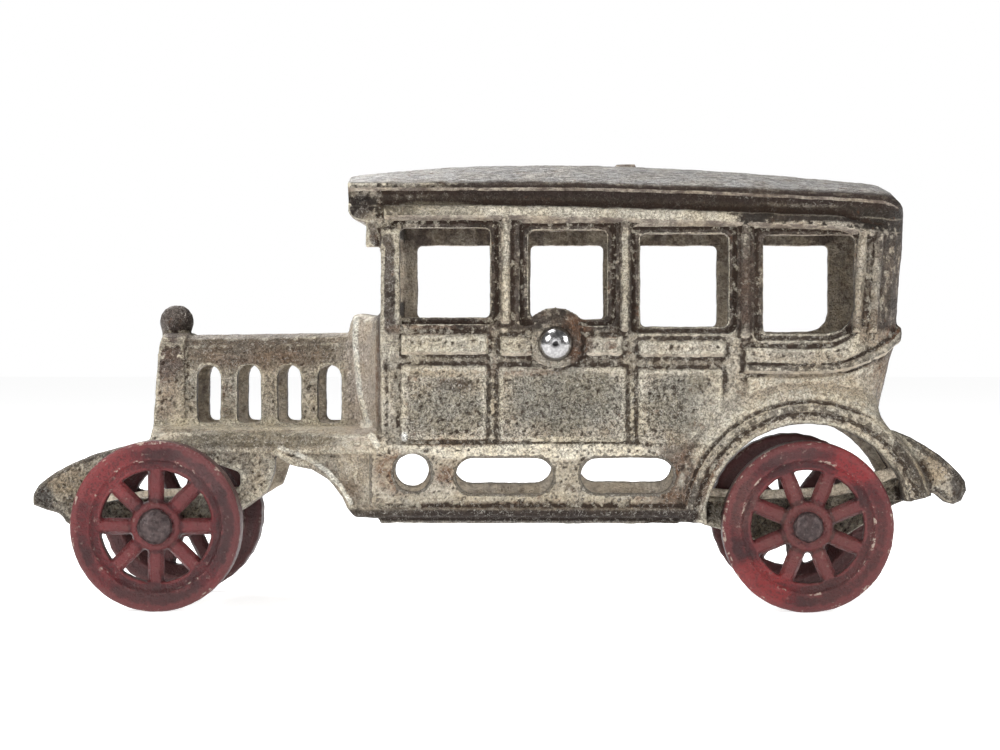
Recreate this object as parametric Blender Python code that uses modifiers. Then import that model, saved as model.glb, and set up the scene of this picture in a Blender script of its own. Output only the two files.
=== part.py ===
"""Cast iron toy limousine taxi.

Two hollow cast body halves meet on the centre plane and are held by one long rivet.
Two headed axles run through the frame rails and carry four cast wheels with eight spokes.
Metres, +Z up, front towards -X, left side towards -Y, wheels standing on Z = 0.
"""
import math

import bmesh
import bpy
from mathutils import Matrix, Vector

# Running gear
WHEEL_RADIUS = 0.0150
WHEEL_WIDTH = 0.0068
RIM_FACE = 0.0035
RIM_STEP = 0.0015
HUB_RADIUS = 0.0045
HUB_SETBACK = 0.0004
SPOKE_COUNT = 8
SPOKE_WIDTH = 0.0027
SPOKE_DEPTH = 0.0026
FRONT_WHEEL_TURNS = (0.0, 26.0)
REAR_WHEEL_TURNS = (22.5, 7.0)
FRONT_AXLE_X = -0.0596
WHEELBASE = 0.1142
AXLE_RADIUS = 0.0016
FRONT_HEAD_RADIUS = 0.0032
REAR_HEAD_RADIUS = 0.0028
HEAD_HEIGHT = 0.0016

# Clearances
SEAM_GAP = 0.0003
SEAT_GAP = 0.0003
RUNNING_CLEARANCE = 0.0003
RAIL_CLEARANCE = 0.0008
ARCH_CLEARANCE = 0.0030

# Casting
WALL = 0.0022
RECESS_DEPTH = 0.0006

# Half widths, measured out from the centre plane
CABIN_HALF_WIDTH = 0.0246
HOOD_HALF_WIDTH = 0.0120

# How far other faces stand out beyond the cabin's side
BOARD_STEP = 0.0004
FENDER_STEP = 0.0007
ROOF_STEP = 0.0008
WHEEL_STEP = 0.0009

# Heights above the ground, and heights above or below another level
BOARD_BOTTOM_Z = 0.0166
SILL_Z = 0.0290
BELT_Z = 0.0494
HOOD_DROP = 0.0005
COWL_RISE = 0.0030
ROOF_TOP_Z = 0.0792
ROOF_RISE = 0.0041
ROOF_SIDE = 0.0068
ROOF_REAR_DROP = 0.0048
ROOF_FRONT_BOW = 0.0020
ROOF_REAR_BOW = 0.0042
EAVES_FALL = 0.0022

# Stations along the length, and distances from another station
CABIN_FRONT_X = -0.0201
ROOF_CROWN_X = 0.0064
EAVES_LEVEL_X = 0.0100
NOSE_OVERHANG = 0.0018
REAR_OVERHANG = 0.0174
COWL_LENGTH = 0.0066
VISOR_LENGTH = 0.0057
CABIN_REAR_CORNER = 0.0090
NOSE_LEAN = 0.0018

# Back of the cabin: share of the way up from the sill to the roof, distance ahead of its rearmost point
CABIN_REAR_PROFILE = ((0.127, 0.0046), (0.229, 0.0038), (0.369, 0.0025), (0.458, 0.0015),
                      (0.585, 0.0010), (0.700, 0.0008), (0.880, 0.0002), (0.992, 0.0))
REAR_FLOOR_RISE = 0.0026

# Width of the fender arch outside its opening
FENDER_WIDTH = 0.0035

# Side windows: front and rear edge behind the cabin's front, sill above the belt, head below the roof,
# radius of the lower rear corner
LEFT_WINDOWS = (
    (0.0034, 0.0191, 0.0022, 0.0011, 0.0008),
    (0.0259, 0.0396, 0.0019, 0.0016, 0.0008),
    (0.0454, 0.0607, 0.0006, 0.0022, 0.0008),
)
LEFT_QUARTER_WINDOW = (0.0669, 0.0094, -0.0006, 0.0024, 0.0046)
RIGHT_WINDOWS = (
    (0.0046, 0.0191, 0.0022, 0.0031, 0.0008),
    (0.0259, 0.0395, 0.0019, 0.0031, 0.0008),
    (0.0454, 0.0609, 0.0006, 0.0031, 0.0008),
)
RIGHT_QUARTER_WINDOW = (0.0669, 0.0103, -0.0003, 0.0031, 0.0036)
WINDOW_FRAME = 0.0016
SCREEN_MARGIN = 0.0036
REAR_WINDOW_HALF_WIDTH = 0.0100
REAR_WINDOW_SILL = 0.0061
REAR_WINDOW_HEAD = 0.0038

# Rolls on the pillars, behind the cabin's front
PILLAR_ROLLS = (0.0219, 0.0427, 0.0638)
PILLAR_ROLL_RADIUS = 0.0009
CORNICE_RADIUS = 0.0013
BELT_ROLL_RADIUS = 0.0008

# Door panels: front and rear edge behind the cabin's front, foot above the sill, top below the belt
DOOR_PANELS = (
    (0.0034, 0.0187, 0.0010, 0.0061),
    (0.0205, 0.0430, 0.0007, 0.0063),
)
# The last panel is cut by the fender arch: front and rear edge ahead of the rear axle, foot, top
LAST_DOOR_PANEL = (0.0298, 0.0148, 0.0004, 0.0067)
DOOR_PANEL_HEIGHT = 0.0005

# Belt panels: front and rear edge behind the cabin's front, foot and top below the belt
BELT_PANELS = (
    (0.0029, 0.0189, 0.0042, 0.0006),
    (0.0209, 0.0265, 0.0044, 0.0011),
    (0.0357, 0.0424, 0.0044, 0.0011),
    (0.0451, 0.0603, 0.0046, 0.0017),
)
PILLOW_HEIGHT = 0.0007
PANEL_MARGIN = 0.0035

# Raised bands round the rear corner: distance ahead of the rear, foot and top below the belt, share of
# the full height
BELT_BAND = ((0.0287, 0.0057, 0.0029, 0.1), (0.0281, 0.0059, 0.0027, 1.0), (0.0180, 0.0062, 0.0031, 1.0),
             (0.0134, 0.0061, 0.0028, 1.0), (0.0108, 0.0054, 0.0017, 1.0), (0.0090, 0.0044, 0.0004, 0.9),
             (0.0076, 0.0034, -0.0011, 0.2))
QUARTER_BAND = ((0.0282, 0.0116, 0.0082, 0.1), (0.0277, 0.0114, 0.0079, 1.0), (0.0220, 0.0096, 0.0080, 1.0),
                (0.0150, 0.0094, 0.0079, 1.0), (0.0108, 0.0101, 0.0073, 1.0), (0.0082, 0.0109, 0.0064, 1.0),
                (0.0063, 0.0119, 0.0054, 1.0), (0.0052, 0.0126, 0.0046, 0.3))

# Running board openings: front and rear edge behind the cabin's front, foot and top above the board's foot.
# The last one of each side ends a margin ahead of the fender arch.
LEFT_BOARD_OPENINGS = ((0.0023, 0.0088, 0.0045, 0.0111), (0.0132, 0.0302, 0.0042, 0.0104))
LEFT_LAST_OPENING = (0.0350, 0.0020, 0.0043, 0.0104)
RIGHT_BOARD_OPENINGS = ((0.0004, 0.0066, 0.0034, 0.0096), (0.0115, 0.0298, 0.0040, 0.0104))
RIGHT_LAST_OPENING = (0.0350, 0.0007, 0.0042, 0.0104)

# Hood louvres, spaced evenly between a margin behind the nose and one ahead of the cowl
LOUVRE_COUNT = 4
LOUVRE_WIDTH = 0.0041
LOUVRE_HEIGHT = 0.0104
LOUVRE_FOOT_RISE = 0.0038
LOUVRE_NOSE_MARGIN = 0.0079
LOUVRE_COWL_MARGIN = 0.0011

# Radiator cap: place behind the nose, and profile from its top down as radius, height above the hood
RADIATOR_CAP_SETBACK = 0.0029
RADIATOR_CAP = ((0.0, 0.0051), (0.0012, 0.0049), (0.0022, 0.0043), (0.0029, 0.0033), (0.0032, 0.0020),
                (0.0030, 0.0009), (0.0027, 0.0002), (0.0027, -0.0020), (0.0, -0.0020))

# Centre rivet
RIVET_X = 0.0105
RIVET_Z = 0.0470
RIVET_RADIUS = 0.0016
RIVET_HEAD_RADIUS = 0.0031
RIVET_HEAD_HEIGHT = 0.0025
RIVET_BOSS_RADIUS = 0.0033
RIVET_PAD_RADIUS = 0.0056
RIVET_PAD_FACE_RADIUS = 0.0040

# Casting stub on the roof of the right half
GATE_STUB_X = 0.0232
GATE_STUB_SIZE = 0.0036

# Worked out from the sizes above
REAR_AXLE_X = FRONT_AXLE_X + WHEELBASE
AXLE_Z = WHEEL_RADIUS
RIM_BAND_RADIUS = WHEEL_RADIUS - RIM_FACE
RIM_INNER_RADIUS = RIM_BAND_RADIUS - RIM_STEP
NOSE_X = FRONT_AXLE_X - NOSE_OVERHANG
CABIN_REAR_X = REAR_AXLE_X + REAR_OVERHANG
COWL_X = CABIN_FRONT_X - COWL_LENGTH
VISOR_X = CABIN_FRONT_X - VISOR_LENGTH
ARCH_RADIUS = WHEEL_RADIUS + ARCH_CLEARANCE
FENDER_RADIUS = ARCH_RADIUS + FENDER_WIDTH
PANEL_ARCH_RADIUS = FENDER_RADIUS + PANEL_MARGIN
HOOD_TOP_Z = BELT_Z - HOOD_DROP
COWL_TOP_Z = BELT_Z + COWL_RISE
ROOF_EDGE_Z = ROOF_TOP_Z - ROOF_RISE
ROOF_BOTTOM_Z = ROOF_EDGE_Z - ROOF_SIDE
BOARD_HALF_WIDTH = CABIN_HALF_WIDTH + BOARD_STEP
FENDER_HALF_WIDTH = CABIN_HALF_WIDTH + FENDER_STEP
ROOF_HALF_WIDTH = CABIN_HALF_WIDTH + ROOF_STEP
WHEEL_OUTER_FACE = CABIN_HALF_WIDTH + WHEEL_STEP
WHEEL_INNER_FACE = WHEEL_OUTER_FACE - WHEEL_WIDTH
RAIL_OUTER = WHEEL_INNER_FACE - RAIL_CLEARANCE
RAIL_INNER = RAIL_OUTER - WALL
BORE_RADIUS = AXLE_RADIUS + RUNNING_CLEARANCE
RIVET_SEAT = CABIN_HALF_WIDTH + PILLOW_HEIGHT
WALL_INSIDE = CABIN_HALF_WIDTH - 3 * WALL
PAST_SIDE = CABIN_HALF_WIDTH + 0.0054
PAST_SEAM = -0.0010
LEFT = -1
RIGHT = 1


def make_collection(name):
    collection = bpy.data.collections.new(name)
    bpy.context.scene.collection.children.link(collection)
    return collection


def clear_scene():
    for old in list(bpy.data.objects):
        bpy.data.objects.remove(old, do_unlink=True)


clear_scene()
PARTS = make_collection("cast_iron_toy_taxi")
CUTTERS = make_collection("cutters")


def make_material(name, colour, metallic, roughness):
    material = bpy.data.materials.new(name)
    material.use_nodes = True
    shader = material.node_tree.nodes["Principled BSDF"]
    shader.inputs["Base Color"].default_value = (*colour, 1.0)
    shader.inputs["Metallic"].default_value = metallic
    shader.inputs["Roughness"].default_value = roughness
    return material


def make_object(name, mesh, collection, material=None):
    part = bpy.data.objects.new(name, mesh)
    collection.objects.link(part)
    if material is not None:
        mesh.materials.clear()
        mesh.materials.append(material)
    return part


def mark_as_tool(tool):
    tool.hide_render = True
    tool.display_type = "WIRE"
    return tool


def mesh_from_bmesh(name, bm):
    bmesh.ops.recalc_face_normals(bm, faces=bm.faces)
    mesh = bpy.data.meshes.new(name)
    bm.to_mesh(mesh)
    bm.free()
    return mesh


def mesh_from_curve(name, curve, matrix):
    """Turns a curve into a closed mesh in world space, with its caps welded on."""
    guide = bpy.data.objects.new(name, curve)
    CUTTERS.objects.link(guide)
    evaluated = guide.evaluated_get(bpy.context.evaluated_depsgraph_get())
    mesh = bpy.data.meshes.new_from_object(evaluated)
    bm = bmesh.new()
    bm.from_mesh(mesh)
    bmesh.ops.remove_doubles(bm, verts=bm.verts, dist=0.000001)
    bmesh.ops.dissolve_limit(bm, angle_limit=math.radians(0.05), verts=bm.verts, edges=bm.edges)
    bm.transform(matrix)
    bpy.data.objects.remove(guide, do_unlink=True)
    return mesh_from_bmesh(name, bm)


def arc(centre_x, centre_z, radius, start, end, steps):
    """Points along an arc, with angles in degrees from +X towards +Z."""
    angles = [math.radians(start + (end - start) * step / steps) for step in range(steps + 1)]
    return [(centre_x + radius * math.cos(a), centre_z + radius * math.sin(a)) for a in angles]


def round_corners(corners, steps=3):
    """A closed outline from (x, z, radius) corners."""
    outline = []
    for index, (x, z, radius) in enumerate(corners):
        corner = Vector((x, z))
        if radius == 0:
            outline.append((x, z))
            continue
        before = Vector(corners[index - 1][:2]) - corner
        after = Vector(corners[(index + 1) % len(corners)][:2]) - corner
        half_angle = before.angle(after) / 2
        reach = min(radius / math.tan(half_angle), 0.49 * before.length, 0.49 * after.length)
        inward = (before.normalized() + after.normalized()).normalized()
        centre = corner + inward * (reach / math.cos(half_angle))
        start = corner + before.normalized() * reach - centre
        turn = math.copysign(math.pi - 2 * half_angle, before.cross(after))
        for step in range(steps + 1):
            point = centre + start @ Matrix.Rotation(turn * step / steps, 2)
            outline.append((point.x, point.y))
    return outline


def rectangle(x0, x1, z0, z1, radius, steps=3):
    corners = ((x0, z0, radius), (x1, z0, radius), (x1, z1, radius), (x0, z1, radius))
    return round_corners(corners, steps)


def smooth_step(value, start, end):
    t = min(max((value - start) / (end - start), 0.0), 1.0)
    return t * t * (3 - 2 * t)


def spread(start, end, count):
    return [start + (end - start) * step / (count - 1) for step in range(count)]


class HalfCasting:
    """Solids of one cast half. Widths are given outwards from the centre plane."""

    def __init__(self, name, side):
        self.name = name
        self.side = side
        self.stages = []

    def stage(self, operation):
        """Starts the next Boolean stage: the tools made after this call belong to it."""
        label = f"{self.name}_{len(self.stages) + 1}_{operation.lower()}"
        collection = bpy.data.collections.new(label)
        CUTTERS.children.link(collection)
        self.stages.append((operation, collection))

    def keep(self, label, mesh):
        collection = self.stages[-1][1]
        return mark_as_tool(make_object(f"{self.name}_{label}", mesh, collection))

    def plate(self, label, outline, inner, outer, bevel=0.0):
        """A flat outline in the side view, with its thickness across the car."""
        curve = bpy.data.curves.new(label, "CURVE")
        curve.dimensions = "2D"
        curve.fill_mode = "BOTH"
        curve.extrude = (outer - inner) / 2
        spline = curve.splines.new("POLY")
        spline.points.add(len(outline) - 1)
        for point, (x, z) in zip(spline.points, outline):
            point.co = (x, z, 0, 1)
        spline.use_cyclic_u = True
        stand = Matrix.Rotation(math.radians(90), 4, "X")
        shift = Matrix.Translation((0, self.side * (inner + outer) / 2, 0))
        mesh = mesh_from_curve(label, curve, shift @ stand)
        tool = self.keep(label, mesh)
        if bevel > 0:
            modifier = tool.modifiers.new("rounded_edges", "BEVEL")
            modifier.width = bevel
            modifier.segments = 1
            modifier.limit_method = "ANGLE"
            modifier.angle_limit = math.radians(50)
        return tool

    def loft(self, label, rings):
        """A closed solid through rings of (x, out, z) points."""
        bm = bmesh.new()
        loops = []
        for ring in rings:
            loops.append([bm.verts.new((x, self.side * out, z)) for x, out, z in ring])
        for lower, upper in zip(loops, loops[1:]):
            for index in range(len(lower)):
                following = (index + 1) % len(lower)
                bm.faces.new((lower[index], lower[following], upper[following], upper[index]))
        bm.faces.new(loops[0])
        bm.faces.new(reversed(loops[-1]))
        return self.keep(label, mesh_from_bmesh(label, bm))

    def tube(self, label, points, radius, resolution=1, shares=None):
        """A round moulding along (x, out, z) points, with a share of the radius for each point."""
        curve = bpy.data.curves.new(label, "CURVE")
        curve.dimensions = "3D"
        curve.bevel_depth = radius
        curve.bevel_resolution = resolution
        curve.use_fill_caps = True
        spline = curve.splines.new("POLY")
        spline.points.add(len(points) - 1)
        for point, (x, out, z), share in zip(spline.points, points, shares or [1.0] * len(points)):
            point.co = (x, self.side * out, z, 1)
            point.radius = share
        return self.keep(label, mesh_from_curve(label, curve, Matrix.Identity(4)))

    def band(self, label, stations, height):
        """A raised band with sloping edges that follows the cabin's side."""
        rings = []
        for ahead, below, under, share in stations:
            x, foot, top = CABIN_REAR_X - ahead, BELT_Z - below, BELT_Z - under
            ring = []
            for z, rise in ((foot, -0.0008), (foot + 0.0004, height * share),
                            (top - 0.0004, height * share), (top, -0.0008)):
                out, (along, across) = cabin_wall(x, z)
                ring.append((x + along * rise, out + across * rise, z))
            rings.append(ring)
        return self.loft(label, rings)

    def rod(self, label, x, z, radius, inner, outer, segments=20, outer_radius=None):
        """A round bar straight across the car, which can taper towards its outer end."""
        bm = bmesh.new()
        bmesh.ops.create_cone(bm, cap_ends=True, segments=segments, radius1=radius,
                              radius2=radius if outer_radius is None else outer_radius,
                              depth=outer - inner)
        bm.transform(Matrix.Rotation(math.radians(90) * -self.side, 4, "X"))
        bm.transform(Matrix.Translation((x, self.side * (inner + outer) / 2, z)))
        return self.keep(label, mesh_from_bmesh(label, bm))

    def box(self, label, x0, x1, inner, outer, z0, z1):
        bm = bmesh.new()
        bmesh.ops.create_cube(bm, size=1)
        size = Matrix.Diagonal((x1 - x0, outer - inner, z1 - z0, 1))
        centre = ((x0 + x1) / 2, self.side * (inner + outer) / 2, (z0 + z1) / 2)
        bm.transform(Matrix.Translation(centre) @ size)
        return self.keep(label, mesh_from_bmesh(label, bm))

    def turned_knob(self, label, x, profile):
        """A knob turned about an upright axis on the centre plane."""
        knob = turned(label, profile, 16, self.stages[-1][1], closed=False)
        knob.name = f"{self.name}_{label}"
        return mark_as_tool(bake(knob, Matrix.Translation((x, 0, 0))))

    def finish(self, material):
        """Runs every stage on the first tool and leaves one solid."""
        first = self.stages[0][1].objects[0]
        body = make_object(f"{self.name}_raw", first.data, CUTTERS)
        self.stages[0][1].objects.unlink(first)
        for operation, collection in self.stages:
            modifier = body.modifiers.new(collection.name, "BOOLEAN")
            modifier.operation = operation
            modifier.operand_type = "COLLECTION"
            modifier.collection = collection
            modifier.solver = "EXACT"
        depsgraph = bpy.context.evaluated_depsgraph_get()
        mesh = bpy.data.meshes.new_from_object(body.evaluated_get(depsgraph))
        bm = bmesh.new()
        bm.from_mesh(mesh)
        bmesh.ops.remove_doubles(bm, verts=bm.verts, dist=0.000002)
        bmesh.ops.dissolve_degenerate(bm, dist=0.000002, edges=bm.edges)
        bmesh.ops.dissolve_limit(bm, angle_limit=math.radians(0.1), verts=bm.verts, edges=bm.edges)
        bm.to_mesh(mesh)
        bm.free()
        bpy.data.objects.remove(body, do_unlink=True)
        casting = make_object(self.name, mesh, PARTS, material)
        mesh.shade_smooth()
        mesh.set_sharp_from_angle(angle=math.radians(35))
        return casting


def profile_z(share):
    return SILL_Z + (ROOF_BOTTOM_Z - SILL_Z) * share


def rear_wall_x(z):
    """The back of the cabin tucks in below the belt."""
    low, tuck = CABIN_REAR_PROFILE[0]
    share = max(low, (z - SILL_Z) / (ROOF_BOTTOM_Z - SILL_Z))
    for high, next_tuck in CABIN_REAR_PROFILE[1:]:
        if share < high:
            return CABIN_REAR_X - tuck - (next_tuck - tuck) * (share - low) / (high - low)
        low, tuck = high, next_tuck
    return CABIN_REAR_X - tuck


def cabin_wall(x, z):
    """Outward distance of the cabin's side, and the direction it faces, round the rear corner."""
    centre_x = rear_wall_x(z) - CABIN_REAR_CORNER
    if x <= centre_x:
        return CABIN_HALF_WIDTH, (0.0, 1.0)
    cosine = min((x - centre_x) / CABIN_REAR_CORNER, 0.995)
    sine = math.sqrt(1 - cosine ** 2)
    return CABIN_HALF_WIDTH - CABIN_REAR_CORNER * (1 - sine), (cosine, sine)


def corner_point(angle, z, proud=0.0):
    """A point on the rear corner at an angle from straight back, a little proud of the wall."""
    turn = math.radians(angle)
    radius = CABIN_REAR_CORNER + proud
    return (rear_wall_x(z) - CABIN_REAR_CORNER + radius * math.cos(turn),
            CABIN_HALF_WIDTH - CABIN_REAR_CORNER + radius * math.sin(turn), z)


def cabin_ring(z, inset):
    """Plan of the cabin at one height, open towards the centre plane."""
    front = CABIN_FRONT_X + inset
    rear = rear_wall_x(z) - inset
    half = CABIN_HALF_WIDTH - inset
    corner = max(CABIN_REAR_CORNER - inset, 0.0010)
    ring = [(front, PAST_SEAM), (front, half - 0.0015), (front + 0.0015, half)]
    ring += [(rear - corner + dx, half - corner + dy)
             for dx, dy in reversed(arc(0, 0, corner, 0, 90, 5))]
    ring.append((rear, PAST_SEAM))
    return [(x, out, z) for x, out in ring]


def roof_width(x):
    """Half width of the roof, drawn in at both ends."""
    rear_start = CABIN_REAR_X - CABIN_REAR_CORNER
    width = ROOF_HALF_WIDTH
    if x > rear_start:
        t = min((x - rear_start) / CABIN_REAR_CORNER, 1.0)
        width = ROOF_HALF_WIDTH - CABIN_REAR_CORNER * (1 - math.sqrt(max(0.0, 1 - t * t)))
    if x < VISOR_X + 0.0010:
        width -= 0.0004
    return width


def roof_drop(x):
    """How far the roof falls at the back corner."""
    start = CABIN_REAR_X - 0.0050
    t = min(max((x - start) / 0.0050, 0.0), 1.0)
    return ROOF_REAR_DROP * (1 - math.sqrt(max(0.0, 1 - t * t)))


def roof_centre_z(x):
    end, bow = (VISOR_X, ROOF_FRONT_BOW) if x < ROOF_CROWN_X else (CABIN_REAR_X, ROOF_REAR_BOW)
    return ROOF_TOP_Z - bow * ((x - ROOF_CROWN_X) / (end - ROOF_CROWN_X)) ** 2 - roof_drop(x)


def roof_edge_z(x):
    share = max(0.0, x - EAVES_LEVEL_X) / (CABIN_REAR_X - 0.0050 - EAVES_LEVEL_X)
    return ROOF_EDGE_Z - EAVES_FALL * share ** 1.5 - 0.55 * roof_drop(x)


def cornice_z(x):
    share = max(0.0, x) / (CABIN_REAR_X - 0.0050)
    return ROOF_BOTTOM_Z + 0.0018 - EAVES_FALL * share ** 1.4


def roof_section(x, foot_z):
    """Half of the roof across the car: domed top, drip edge and upright side."""
    width = roof_width(x)
    centre, edge = roof_centre_z(x), roof_edge_z(x)
    ring = [(x, PAST_SEAM, centre)]
    for share in (0.35, 0.60, 0.80, 0.93, 1.0):
        ring.append((x, width * share, edge + (centre - edge) * (1 - share ** 2.5)))
    ring.append((x, width, edge - 0.0008))
    ring.append((x, width - 0.0008, edge - 0.0014))
    ring.append((x, width - 0.0008, foot_z))
    ring.append((x, PAST_SEAM, foot_z))
    return ring


def roof_cavity_section(x):
    width = roof_width(x) - 0.0033
    centre, edge = roof_centre_z(x) - WALL, roof_edge_z(x) - WALL
    ring = [(x, PAST_SEAM, centre)]
    for share in (0.5, 0.85, 1.0):
        ring.append((x, width * share, edge + (centre - edge) * (1 - share ** 2.5)))
    ring.append((x, width, ROOF_BOTTOM_Z - 0.0020))
    ring.append((x, PAST_SEAM, ROOF_BOTTOM_Z - 0.0020))
    return ring


def nose_lean(z):
    """The radiator leans back towards its top."""
    return NOSE_LEAN * ((z - SILL_Z) / (HOOD_TOP_Z - SILL_Z)) ** 2


def hood_section(x, grow, leaning, foot_z=SILL_Z - 0.0010):
    """Half of the hood across the car, grown outwards by a little for the radiator shell."""
    half = HOOD_HALF_WIDTH + grow
    top = HOOD_TOP_Z - 0.0005 * smooth_step(-x, -COWL_X, -NOSE_X) + grow
    section = [(PAST_SEAM, top), (half - 0.0040, top), (half - 0.0016, top - 0.0007),
               (half - 0.0004, top - 0.0020), (half, top - 0.0040), (half, foot_z),
               (PAST_SEAM, foot_z)]
    return [(x + (nose_lean(z) if leaning else 0.0), out, z) for out, z in section]


def cowl_out(share):
    """How far out the cowl has flared between the hood's side and the cabin's."""
    return HOOD_HALF_WIDTH + (CABIN_HALF_WIDTH - HOOD_HALF_WIDTH) * share


def cowl_rake(z):
    """The cowl meets the hood further back towards its foot."""
    return 0.0014 * smooth_step(HOOD_TOP_Z - z, 0.0, 0.0160)


def ledge_out(x):
    """The frame line runs from the rails at the front out to the running board."""
    return RAIL_OUTER + 0.0002 + (BOARD_HALF_WIDTH - RAIL_OUTER) * smooth_step(
        x, FRONT_AXLE_X + 0.0180, CABIN_FRONT_X)


def ledge_section(x):
    out = ledge_out(x)
    inner = HOOD_HALF_WIDTH - 0.0010
    section = [(inner, 0.0035), ((HOOD_HALF_WIDTH + out) / 2, 0.0030), (out - 0.0009, 0.0020),
               (out, 0.0006), (out, -0.0012), (out - WALL, -0.0012), (out - WALL - 0.0003, 0.0001),
               (inner - 0.0002, 0.0013)]
    return [(x, y, SILL_Z + z) for y, z in section]


# Front lower edge of the running board apron: distance ahead of the cabin, height above the board's foot
APRON_EDGE = ((-0.0215, 0.0108), (-0.0190, 0.0108), (-0.0161, 0.0090), (-0.0121, 0.0082),
              (-0.0088, 0.0064), (-0.0061, 0.0031), (-0.0052, 0.0011), (-0.0042, 0.0),
              (0.0010, 0.0))


def apron_edge():
    return [(CABIN_FRONT_X + dx, BOARD_BOTTOM_Z + dz) for dx, dz in APRON_EDGE]


def front_web_outline():
    """Horn, frame web and axle bracket around the front axle, from the horn's tip."""
    top = SILL_Z + 0.0010 - AXLE_Z
    horn = ((-0.0226, 0.0046), (-0.0211, 0.0070), (-0.0186, 0.0091), (-0.0156, 0.0108),
            (-0.0121, 0.0123), (-0.0070, 0.0136), (-0.0018, top))
    bracket = ((0.0206, top), (0.0206, 0.0106), (0.0204, 0.0091), (0.0196, 0.0068),
               (0.0192, 0.0056), (0.0151, 0.0030), (0.0096, -0.0008))
    under = ((-0.0054, -0.0016), (-0.0109, -0.0010), (-0.0166, 0.0000), (-0.0171, 0.0010),
             (-0.0179, 0.0018), (-0.0199, 0.0024), (-0.0221, 0.0033))
    boss = arc(0, 0, 0.0040, -30, -140, 5)
    points = list(horn) + list(bracket) + boss + list(under)
    return [(FRONT_AXLE_X + dx, AXLE_Z + dz) for dx, dz in points]


def front_slot_outline():
    corners = ((-0.0112, 0.0036, 0.001), (-0.0060, 0.0045, 0.002), (0.0030, 0.0050, 0.002),
               (0.0110, 0.0050, 0.002), (0.0143, 0.0066, 0.001), (0.0143, 0.0092, 0.001),
               (0.0100, 0.0106, 0.002), (-0.0040, 0.0110, 0.002), (-0.0112, 0.0084, 0.002))
    return [(FRONT_AXLE_X + x, AXLE_Z + z) for x, z in round_corners(corners, 2)]


def rear_rail_outline():
    foot = ((-0.0203, 0.0018), (-0.0177, -0.0001), (-0.0080, -0.0030))
    boss = arc(0, 0, 0.0040, 220, 320, 5)
    tail = ((0.0070, -0.0022), (0.0146, 0.0030), (0.0174, 0.0042), (0.0203, 0.0054),
            (0.0198, 0.0090), (0.0158, 0.0082), (0.0129, 0.0070), (0.0062, 0.0051))
    top = ((-0.0063, 0.0045), (-0.0159, 0.0049), (-0.0200, 0.0055))
    points = list(foot) + boss + list(tail) + list(top)
    return [(REAR_AXLE_X + dx, AXLE_Z + dz) for dx, dz in points]


def rear_horn_outline():
    points = ((0.0130, 0.0170), (0.0154, 0.0168), (0.0184, 0.0155), (0.0206, 0.0142),
              (0.0229, 0.0127), (0.0248, 0.0112), (0.0268, 0.0092), (0.0277, 0.0079),
              (0.0279, 0.0063), (0.0270, 0.0045), (0.0256, 0.0037), (0.0240, 0.0042),
              (0.0228, 0.0053), (0.0220, 0.0058), (0.0205, 0.0055), (0.0189, 0.0075),
              (0.0160, 0.0120))
    return [(REAR_AXLE_X + dx, AXLE_Z + dz) for dx, dz in points]


# Directions from the rear axle at which the fender arch is drawn, in degrees up from straight back
FENDER_STATIONS = (14, 24, 34, 44, 50, 56, 62, 70, 80, 90, 100, 110, 120, 130, 140, 150, 160, 170, 178)

# Section of the fender arch: distance outside the arch opening, height above the cabin's side
FENDER_RING = ((0.0, 0.0002), (0.0003, 0.0006), (0.0020, 0.0006), (0.0023, 0.0010), (0.0029, 0.0012),
               (0.0035, 0.0010), (0.0038, 0.0006))
FENDER_FLARE = ((0.0045, 0.0009), (0.0052, 0.0009), (0.0066, 0.0004), (0.0086, -0.0002))


def fender_section(angle):
    """The arch from its opening out to the flare, which fades towards both feet."""
    spread = max(0.12, smooth_step(angle, 50, 66) * (1 - smooth_step(angle, 150, 172)))
    edge, level = FENDER_RING[-1]
    section = list(FENDER_RING)
    for reach, rise in FENDER_FLARE[:-1]:
        section.append((edge + (reach - edge) * spread, level + (rise - level) * spread))
    foot = edge + (FENDER_FLARE[-1][0] - edge) * spread
    section += [(foot, FENDER_FLARE[-1][1]), (foot, -0.0008), (edge, -0.0024), (0.0, -0.0027)]
    turn = math.radians(angle)
    ring = []
    for reach, rise in section:
        x = REAR_AXLE_X + (ARCH_RADIUS + reach) * math.cos(turn)
        z = AXLE_Z + (ARCH_RADIUS + reach) * math.sin(turn)
        flare = max(0.0, reach - edge) / (FENDER_FLARE[-1][0] - edge)
        wall = cabin_wall(x, z)[0]
        ring.append((x, CABIN_HALF_WIDTH + (wall - CABIN_HALF_WIDTH) * flare + rise, z))
    return ring


def board_outline():
    seat = (ARCH_RADIUS + FENDER_RADIUS) / 2
    low = math.degrees(math.asin((BOARD_BOTTOM_Z - AXLE_Z) / seat))
    high = math.degrees(math.asin((SILL_Z + 0.0003 - AXLE_Z) / seat))
    front = CABIN_FRONT_X - 0.0020
    back = arc(REAR_AXLE_X, AXLE_Z, seat, 180 - low, 180 - high, 6)
    return [(front, BOARD_BOTTOM_Z)] + back + [(front, SILL_Z + 0.0003)]


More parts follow.
